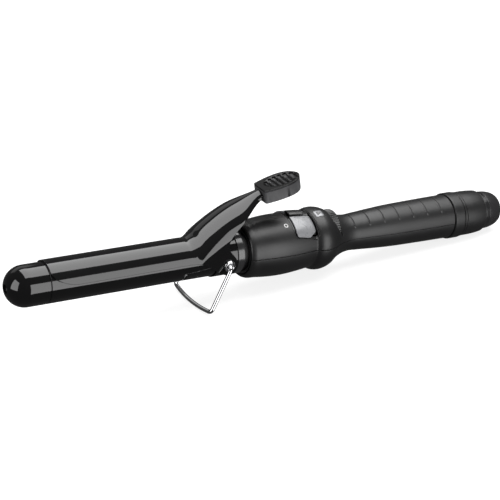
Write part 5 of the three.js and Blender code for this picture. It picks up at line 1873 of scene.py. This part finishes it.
@dataclass
class Switch:
    """The rocker with its two silver plates and its ridge, in a sunk surround."""

    shop: Workshop
    skin: Skin
    rim: float = 0.75
    floor_z: float = 7.4
    tilt: float = 3.0
    plate_proud: float = 0.8
    plate_t: float = 1.1
    ridge_half: float = 2.9
    ridge_proud: float = 2.4
    ridge_seat: float = 0.8
    ridge_length: float = 11.2
    saddle_half_width: float = 14.1
    axle_r: float = 1.1
    axle_reach: float = 1.25
    mark_setback: float = 3.9
    mark_angle: float = 30.6
    mark_depth: float = 0.12
    mark_proud: float = 0.035

    @property
    def tilted(self) -> Matrix:
        """The turn about the rocker's axle to its rest tilt."""
        height = Vector((0.0, 0.0, self.shop.axis.pivot("switch_rock").z))
        turn = Matrix.Rotation(math.radians(self.tilt), 4, "X")
        return Matrix.Translation(height) @ turn @ Matrix.Translation(-height)

    def build(self) -> None:
        """Makes the surround, the rocker and the printed marks."""
        axis, skin = self.shop.axis, self.skin
        frame_span = axis.span("switch_frame")
        x0, x1, w = frame_span.front, frame_span.rear, frame_span.radius
        rim = self.rim
        surround = Sheet(
            skin.face(0.02), skin.strip(x0, x1, -w, w),
            [skin.strip(x0 + rim, x1 - rim, rim - w, w - rim)],
            depth=3.0, edge=0.14, step=0.7, under=skin.floor(self.floor_z - 0.9),
        )
        self.shop.piece(
            "switch_surround", surround, "handle", Look.TRIM_GLOSS, ["switch_frame"]
        )
        floor = Sheet(
            flat_at(self.floor_z),
            rounded_box(x0 + rim, x1 - rim, rim - w + 0.2, w - rim - 0.2, 0.3),
            [rounded_box(x0 + 5.0, x1 - 5.0, -3.2, 3.2, 0.5)], depth=1.0, edge=0.1, step=2.0,
        )
        self.shop.piece("switch_floor", floor, "handle", Look.HEAT_BLACK)
        self._rocker(axis)
        self._marks(x0)

    def _rocker(self, axis: AxisFrame) -> None:
        """The saddle, the ridge, the axle and the two plates."""
        skin, shop, tilted = self.skin, self.shop, self.tilted
        plate = axis.span("rocker_plate_far")
        x0, x1 = plate.front, plate.rear
        w = self.saddle_half_width
        base = self.plate_proud - self.plate_t - 0.15
        saddle = Sheet(
            skin.face(base), skin.strip(x0, x1, -w, w), [],
            ruled(x0 + 0.4, x1 - 0.4, 1.2), ruled(-16.0, 16.0, 1.1),
            depth=1.6, edge=0.2, step=0.9,
        )
        shop.piece(
            "rocker_saddle", saddle, "rocker", Look.HEAT_BLACK, ["switch_rocker"], tilted
        )
        ridge_end = x0 + self.ridge_length

        def crown(x: np.ndarray, a: np.ndarray) -> np.ndarray:
            """The ridge's crowned top."""
            front = smoothstep(x, x0 - 1.6, x0 + 0.7)
            rear = 1.0 - smoothstep(x, ridge_end - 1.2, ridge_end + 0.5)
            across = np.clip(np.abs(a) * 18.0 / self.ridge_half, 0, 1)
            rise = self.ridge_proud - self.ridge_seat
            return rise * front * rear - 0.55 * across**3

        h = self.ridge_half
        ridge = Sheet(
            skin.face(self.ridge_seat, crown), skin.strip(x0, ridge_end, -h, h), [],
            ruled(x0 + 0.4, ridge_end - 0.3, 0.35), ruled(-2.5, 2.5, 0.3), depth=2.4,
            edge=0.3, step=0.4, rim_steps=4,
        )
        heel = Sheet(
            skin.face(1.0, lambda x, a: -0.8 * np.clip(np.abs(a) * 6.5, 0, 1) ** 3),
            skin.strip(ridge_end + 0.05, x1, -h, h), [],
            ruled(ridge_end + 0.4, x1 - 0.3, 0.5), ruled(-2.5, 2.5, 0.4), depth=1.6,
            edge=0.25, step=0.4,
        )
        shop.piece("rocker_ridge", ridge, "rocker", Look.SWIVEL_SATIN, place=tilted)
        shop.piece("rocker_heel", heel, "rocker", Look.COLLAR_GLOSS, place=tilted)
        near, far, thick = x0 - self.axle_reach, x1 + self.axle_reach, self.axle_r
        axle = lathe(rounded([
            (near, 0.0, 0.0), (near, thick, 0.2), (far, thick, 0.2), (far, 0.0, 0.0),
        ]), 32, axis.pivot("switch_rock").z)
        shop.piece("rocker_axle", axle, "rocker", Look.HEAT_BLACK)
        stem = Sheet(
            flat_at(14.2), rounded_box(x0 + 5.0, x1 - 5.0, -2.0, 2.0, 0.4), depth=8.6,
            edge=0.2, step=1.0,
        )
        shop.piece("rocker_stem", stem, "rocker", Look.HEAT_BLACK, place=tilted)
        self._plates(x0, x1)

    def _plates(self, x0: float, x1: float) -> None:
        """The silver plates, cut to a low corner and faceted along it.

        Args:
            x0: The front of the rocker.
            x1: Its rear.
        """
        skin = self.skin
        deg = skin.round_at
        length = x1 - x0
        ax, av, bx, bv = x0 + 0.9, deg(49.6), x0 + 10.0, deg(53.6)
        slope = (bv - av) / (bx - ax)
        bevel = x1 - 1.1

        def facet(x: np.ndarray, a: np.ndarray) -> np.ndarray:
            """The fall of the facet and the rear bevel."""
            v = np.abs(a) * skin.scale
            beyond = np.clip(v - (av + slope * (x - ax)), 0, None)
            back = np.clip(x - bevel, 0, None)
            return 0.16 * beyond - 0.42 * back

        def low(x: np.ndarray, a: np.ndarray) -> np.ndarray:
            """The thinned underside along the low corner."""
            out = smoothstep(np.abs(a), math.radians(45.0), math.radians(50.5))
            return -1.1 + 1.02 * out

        corner = 0.9
        for name, side in (("near", -1), ("far", 1)):
            inner = self.ridge_half + 0.25
            outline = [
                (x0 + 0.15, skin.across_at(x0, inner)), (x0, deg(13.0)), (x0, deg(53.0)),
                (x0 + corner, deg(55.2)), (x0 + 0.55 * length, deg(58.8)),
                (x0 + 0.64 * length, deg(58.8)), (x1 - corner, deg(50.0)), (x1, deg(47.0)),
                (x1, skin.across_at(x1, inner)),
            ]
            outline = [(x, side * v) for x, v in outline]
            lines = ruled(deg(11.0), deg(61.0), 0.7)
            sheet = Sheet(
                skin.face(self.plate_proud, facet), outline, [],
                [*ruled(x0 + 0.4, bevel - 0.1, 0.7), bevel,
                 *ruled(bevel + 0.15, x1 - 0.2, 0.25)],
                [side * v for v in lines], depth=self.plate_t, edge=0.16, step=0.45,
                under=skin.face(self.plate_proud, low),
            )
            node = f"rocker_plate_{name}"
            self.shop.piece(
                f"silver_{node}", sheet, "rocker", Look.SILVER_PAINT, [node], self.tilted
            )

    def _marks(self, x0: float) -> None:
        """The printed ring on the near side and bar on the far side."""
        skin, face = self.skin, self.skin.face(self.mark_proud)
        x = x0 - self.mark_setback
        v = skin.round_at(self.mark_angle)
        share = skin.spread(x)
        near = -v

        def oval(r: float) -> list[Point]:
            """A circle on the skin about the near mark."""
            return [(px, near + (pv - near) * share) for px, pv in circle(x, near, r, 36)]

        bar = rounded_box(x - 0.2, x + 0.2, v - 1.2, v + 1.2, 0.08)
        for name, outline, holes in (
            ("off", oval(1.35), [oval(0.95)]), ("on", bar, [])
        ):
            mark = Sheet(face, outline, holes, depth=self.mark_depth, edge=0.03, step=0.3)
            self.shop.piece(f"mark_{name}", mark, "handle", Look.MARK_PAINT)


# ---------------------------------------------------------------- dial and tail


@dataclass
class Dial:
    """The knurled temperature wheel."""

    shop: Workshop
    teeth: int = 52
    tooth_depth: float = 0.42
    bore: float = 8.6

    def build(self) -> None:
        """Makes the wheel."""
        wheel = self.shop.axis.span("dial_wheel")
        height = 0.5 * (wheel.high.z + wheel.low.z)
        r, x0, x1 = wheel.radius, wheel.front, wheel.rear

        def knurl(x: float, a: float) -> float:
            """The depth of the knurl, less at the rims."""
            wave = 0.5 - 0.5 * math.cos(self.teeth * a)
            land = smoothstep(x, x0 + 0.5, x0 + 0.9) * (1 - smoothstep(x, x1 - 0.9, x1 - 0.5))
            return -self.tooth_depth * wave**0.7 * (0.35 + 0.65 * float(land))

        face = [(x0, self.bore, 0.15), (x0, r - 0.1, 0.35), (x0 + 0.55, r, 0.1),
                (x0 + 0.95, r, 0.1), (x1 - 0.95, r, 0.1), (x1 - 0.55, r, 0.1),
                (x1, r - 0.1, 0.35), (x1, self.bore, 0.15)]
        draft = lathe(rounded(face), self.teeth * 8, height, knurl, self.bore + 1.0)
        self.shop.piece("dial", draft, "dial", Look.DIAL_BLACK, ["dial_wheel"])

    def dress(self) -> None:
        """Paints the wiper, the track and the carrier."""
        self.shop.dress(Look.SPRING_BRASS, "dial_wiper")
        self.shop.dress(Look.BOARD_LACQUER, "dial_track_board")
        self.shop.dress(Look.HEAT_BLACK, "dial_carrier")


@dataclass
class Tail:
    """The tail's bands and shell, and the swivelling outlet."""

    shop: Workshop
    spigot_r: float = 12.8
    mouth_r: float = 8.7
    wall_r: float = 10.9
    wall_t: float = 2.0
    neck_r: float = 8.4
    bore_r: float = 3.7
    flange: Point = (2.4, 10.6)
    gloss_ring: Point = (1.1, 3.2)

    def build(self) -> None:
        """Makes the turned pieces."""
        axis = self.shop.axis
        inner = self.spigot_r + GAP
        self.shop.piece(
            "tail_collar", band(axis.span("tail_band"), inner, 0.9, steps=6), "handle",
            Look.SOFT_TOUCH, ["tail_band"],
        )
        self.shop.piece(
            "tail_trim", band(axis.span("tail_trim_ring"), inner, 0.3), "handle",
            Look.SOFT_TOUCH, ["tail_trim_ring"],
        )
        shell = axis.span("tail_shell")
        x0, x1, r = shell.front, shell.rear, shell.radius
        length, inside = x1 - x0, x1 - self.wall_t
        self.shop.piece(
            "tail_housing",
            lathe(rounded([
                (x0, self.wall_r, 0.1), (x0, r, 0.4), (x0 + 0.4 * length, r, 2.0),
                (x0 + 0.72 * length, r - 0.25, 2.0), (x1, r - 0.8, 0.7),
                (x1, self.mouth_r, 0.2), (inside, self.mouth_r, 0.1),
                (inside, self.wall_r, 0.1),
            ], 6)),
            "handle", Look.SOFT_TOUCH, ["tail_shell"],
        )
        self._swivel(axis.span("swivel_outlet"), shell.rear)

    def _swivel(self, span: Span, wall: float) -> None:
        """The domed outlet with its flange inside the tail, and the glossy ring on it.

        Args:
            span: The outlet's extent.
            wall: The station where the tail's shell ends.
        """
        x0, x1, r = wall + GAP, span.rear, span.radius
        dome = bezier(
            [(x0 + 3.4, r - 0.1), (x0 + 9.0, r - 0.25), (x1 - 1.2, 10.4), (x1 - 0.3, 7.5)], 24
        )
        near, far = (x0 + reach for reach in self.gloss_ring)
        thick, flange_r = self.flange
        start, back = span.front, span.front + thick
        neck, bore = self.neck_r, self.bore_r
        outline = rounded([
            (start, bore, 0.1), (start, flange_r, 0.2), (back, flange_r, 0.2),
            (back, neck, 0.2), (x0, neck, 0.2), (x0, r, 0.35), (near, r, 0.12),
            (near, r - 0.35, 0.0), (far, r - 0.35, 0.0), (far, r - 0.1, 0.12),
            *((x, y, 0.0) for x, y in dome), (x1, 7.0, 0.5), (x1, bore + 0.3, 0.5),
            (x1 - 0.5, bore, 0.2),
        ], 5)
        self.shop.piece(
            "cord_swivel_dome", lathe(outline), "swivel", Look.SWIVEL_SATIN, ["swivel_outlet"]
        )
        ring = lathe(rounded([
            (near + 0.06, r - 0.3, 0.0), (near + 0.06, r - 0.05, 0.12),
            (far - 0.06, r - 0.05, 0.12), (far - 0.06, r - 0.3, 0.0),
        ]))
        self.shop.piece("cord_swivel_ring", ring, "swivel", Look.TRIM_GLOSS)

    def dress(self) -> None:
        """Paints the slip rings, the brushes and their block."""
        shop = self.shop
        shop.dress(Look.SPRING_BRASS, "slip_ring_inner", "slip_ring_outer")
        shop.dress(Look.SPRING_BRASS, "contact_brush_live", "contact_brush_neutral")
        shop.dress(Look.HEAT_BLACK, "contact_block")


# ---------------------------------------------------------------- studio


@dataclass(frozen=True)
class Softbox:
    """A rectangular light, in millimetres along the barrel's axes.

    One with ``only`` lights nothing but the objects whose names start so.
    """

    name: str
    middle: tuple[float, float, float]
    size: Point
    facing: tuple[float, float, float]
    radiance: float
    only: str = ""


@dataclass
class Studio:
    """The pale floor, the softboxes, the world and the camera."""

    axis: AxisFrame
    azimuth: float = 30.0
    elevation: float = 28.0
    roll: float = -5.374
    distance: float = 1290.0
    slide: Point = (-12.3, -0.982)
    target: tuple[float, float, float] = (150.0, 0.0, 0.0)
    lens: float = 153.0
    floor_half: float = 6.0
    floor_shade: float = 0.3
    floor_glow: float = 0.8
    world_level: float = 0.5
    reflected_level: float = 0.1
    boxes: tuple[Softbox, ...] = (
        Softbox("softbox_over", (407.0, 122.0, 800.0), (1015.0, 956.0), (0, 0, -1), 4.7),
        Softbox(
            "softbox_lever", (-490.5, 122.0, 800.0), (780.0, 956.0), (0, 0, -1), 4.7, "clamp"
        ),
        Softbox("softbox_near", (546.0, -900.0, 40.0), (747.0, 837.0), (0, 1, 0), 3.9),
        Softbox("softbox_front", (-700.0, -150.0, 255.0), (540.0, 680.0), (1, 0, 0), 4.0),
        Softbox("fill_behind", (100.0, 1500.0, 900.0), (1400.0, 700.0), (0, -0.86, -0.5), 0.5),
    )

    def build(self) -> None:
        """Sets the whole scene up around the iron."""
        self._floor()
        for box in self.boxes:
            self._light(box)
        self._world()
        self._camera()
        view = bpy.context.scene.view_settings
        view.view_transform = "Standard"
        view.look = "None"

    def _floor(self) -> None:
        """A large pale floor under the stand and the tail."""
        h = self.floor_half
        mesh = bpy.data.meshes.new("floor")
        mesh.from_pydata([(-h, -h, 0), (h, -h, 0), (h, h, 0), (-h, h, 0)], [], [(0, 1, 2, 3)])
        floor = bpy.data.objects.new("floor", mesh)
        bpy.context.scene.collection.objects.link(floor)
        paint = bpy.data.materials.new("floor_paper")
        paint.use_nodes = True
        shader = paint.node_tree.nodes["Principled BSDF"]
        shader.inputs["Base Color"].default_value = (*[self.floor_shade] * 3, 1.0)
        shader.inputs["Roughness"].default_value = 1.0
        shader.inputs["Specular IOR Level"].default_value = 0.0
        shader.inputs["Emission Color"].default_value = (1.0, 1.0, 1.0, 1.0)
        shader.inputs["Emission Strength"].default_value = self.floor_glow
        mesh.materials.append(paint)
        floor.visible_diffuse = False
        floor.visible_glossy = False
        floor.visible_shadow = False

    def _light(self, box: Softbox) -> None:
        """One area light of even brightness."""
        data = bpy.data.lights.new(box.name, "AREA")
        data.shape = "RECTANGLE"
        width, depth = (side * MM for side in box.size)
        data.size, data.size_y = width, depth
        data.energy = box.radiance * math.pi * width * depth
        light = bpy.data.objects.new(box.name, data)
        back = -Vector(box.facing).normalized()
        side = Vector((1.0, 0.0, 0.0)) if abs(back.x) < 0.9 else Vector((0.0, 1.0, 0.0))
        over = back.cross(side).normalized()
        turn = Matrix((over.cross(back), over, back)).transposed()
        place = Matrix.Translation(self.axis.matrix @ Vector(box.middle))
        light.matrix_world = place @ (self.axis.turn @ turn).to_4x4()
        bpy.context.scene.collection.objects.link(light)
        if box.only:
            lit = bpy.data.collections.new(box.name + "_lights")
            for obj in bpy.context.scene.objects:
                if obj.name.startswith(box.only):
                    lit.objects.link(obj)
            light.light_linking.receiver_collection = lit

    def _world(self) -> None:
        """White behind the floor, even light for matt surfaces and dim reflections."""
        world = bpy.data.worlds.new("studio")
        world.use_nodes = True
        tree = world.node_tree
        tree.nodes.clear()
        path = tree.nodes.new("ShaderNodeLightPath")
        level = tree.nodes.new("ShaderNodeMix")
        behind = tree.nodes.new("ShaderNodeMix")
        level.inputs["A"].default_value = self.world_level
        level.inputs["B"].default_value = self.reflected_level
        behind.inputs["B"].default_value = 1.0
        tree.links.new(path.outputs["Is Glossy Ray"], level.inputs["Factor"])
        tree.links.new(path.outputs["Is Camera Ray"], behind.inputs["Factor"])
        tree.links.new(level.outputs["Result"], behind.inputs["A"])
        shade = tree.nodes.new("ShaderNodeBackground")
        tree.links.new(behind.outputs["Result"], shade.inputs["Strength"])
        out = tree.nodes.new("ShaderNodeOutputWorld")
        tree.links.new(shade.outputs["Background"], out.inputs["Surface"])
        bpy.context.scene.world = world

    def _camera(self) -> None:
        """A long lens from the near front, a little above."""
        a, e = math.radians(self.azimuth), math.radians(self.elevation)
        toward = Vector((-math.sin(a), -math.cos(a) * math.cos(e), math.cos(a) * math.sin(e)))
        right = Vector((0.0, 0.0, 1.0)).cross(toward).normalized()
        up = toward.cross(right)
        roll = math.radians(self.roll)
        side = right * math.cos(roll) - up * math.sin(roll)
        over = right * math.sin(roll) + up * math.cos(roll)
        spot = Vector(self.target) + toward * self.distance
        spot -= side * self.slide[0] + over * self.slide[1]
        turn = Matrix((side, over, toward)).transposed()
        data = bpy.data.cameras.new("camera")
        data.lens = self.lens
        data.sensor_width = 36.0
        data.clip_end = 100.0
        camera = bpy.data.objects.new("camera", data)
        place = Matrix.Translation(self.axis.matrix @ spot)
        camera.matrix_world = place @ (self.axis.turn @ turn).to_4x4()
        bpy.context.scene.collection.objects.link(camera)
        bpy.context.scene.camera = camera


def main() -> None:
    """Builds the iron and its studio."""
    logging.basicConfig(level=logging.INFO, format="%(name)s: %(message)s")
    axis = AxisFrame(frame["joints"], frame["nodes"])
    shop = Workshop(axis, PaintShop())
    barrel = Barrel(shop)
    body = Body(shop)
    dial, tail = Dial(shop), Tail(shop)
    parts = (barrel, Clamp(shop), Stand(shop), body, Switch(shop, body.skin), dial, tail)
    for part in parts:
        part.build()
    for part in (barrel, body, dial, tail):
        part.dress()
    Studio(axis).build()


if __name__ == "__main__":
    main()
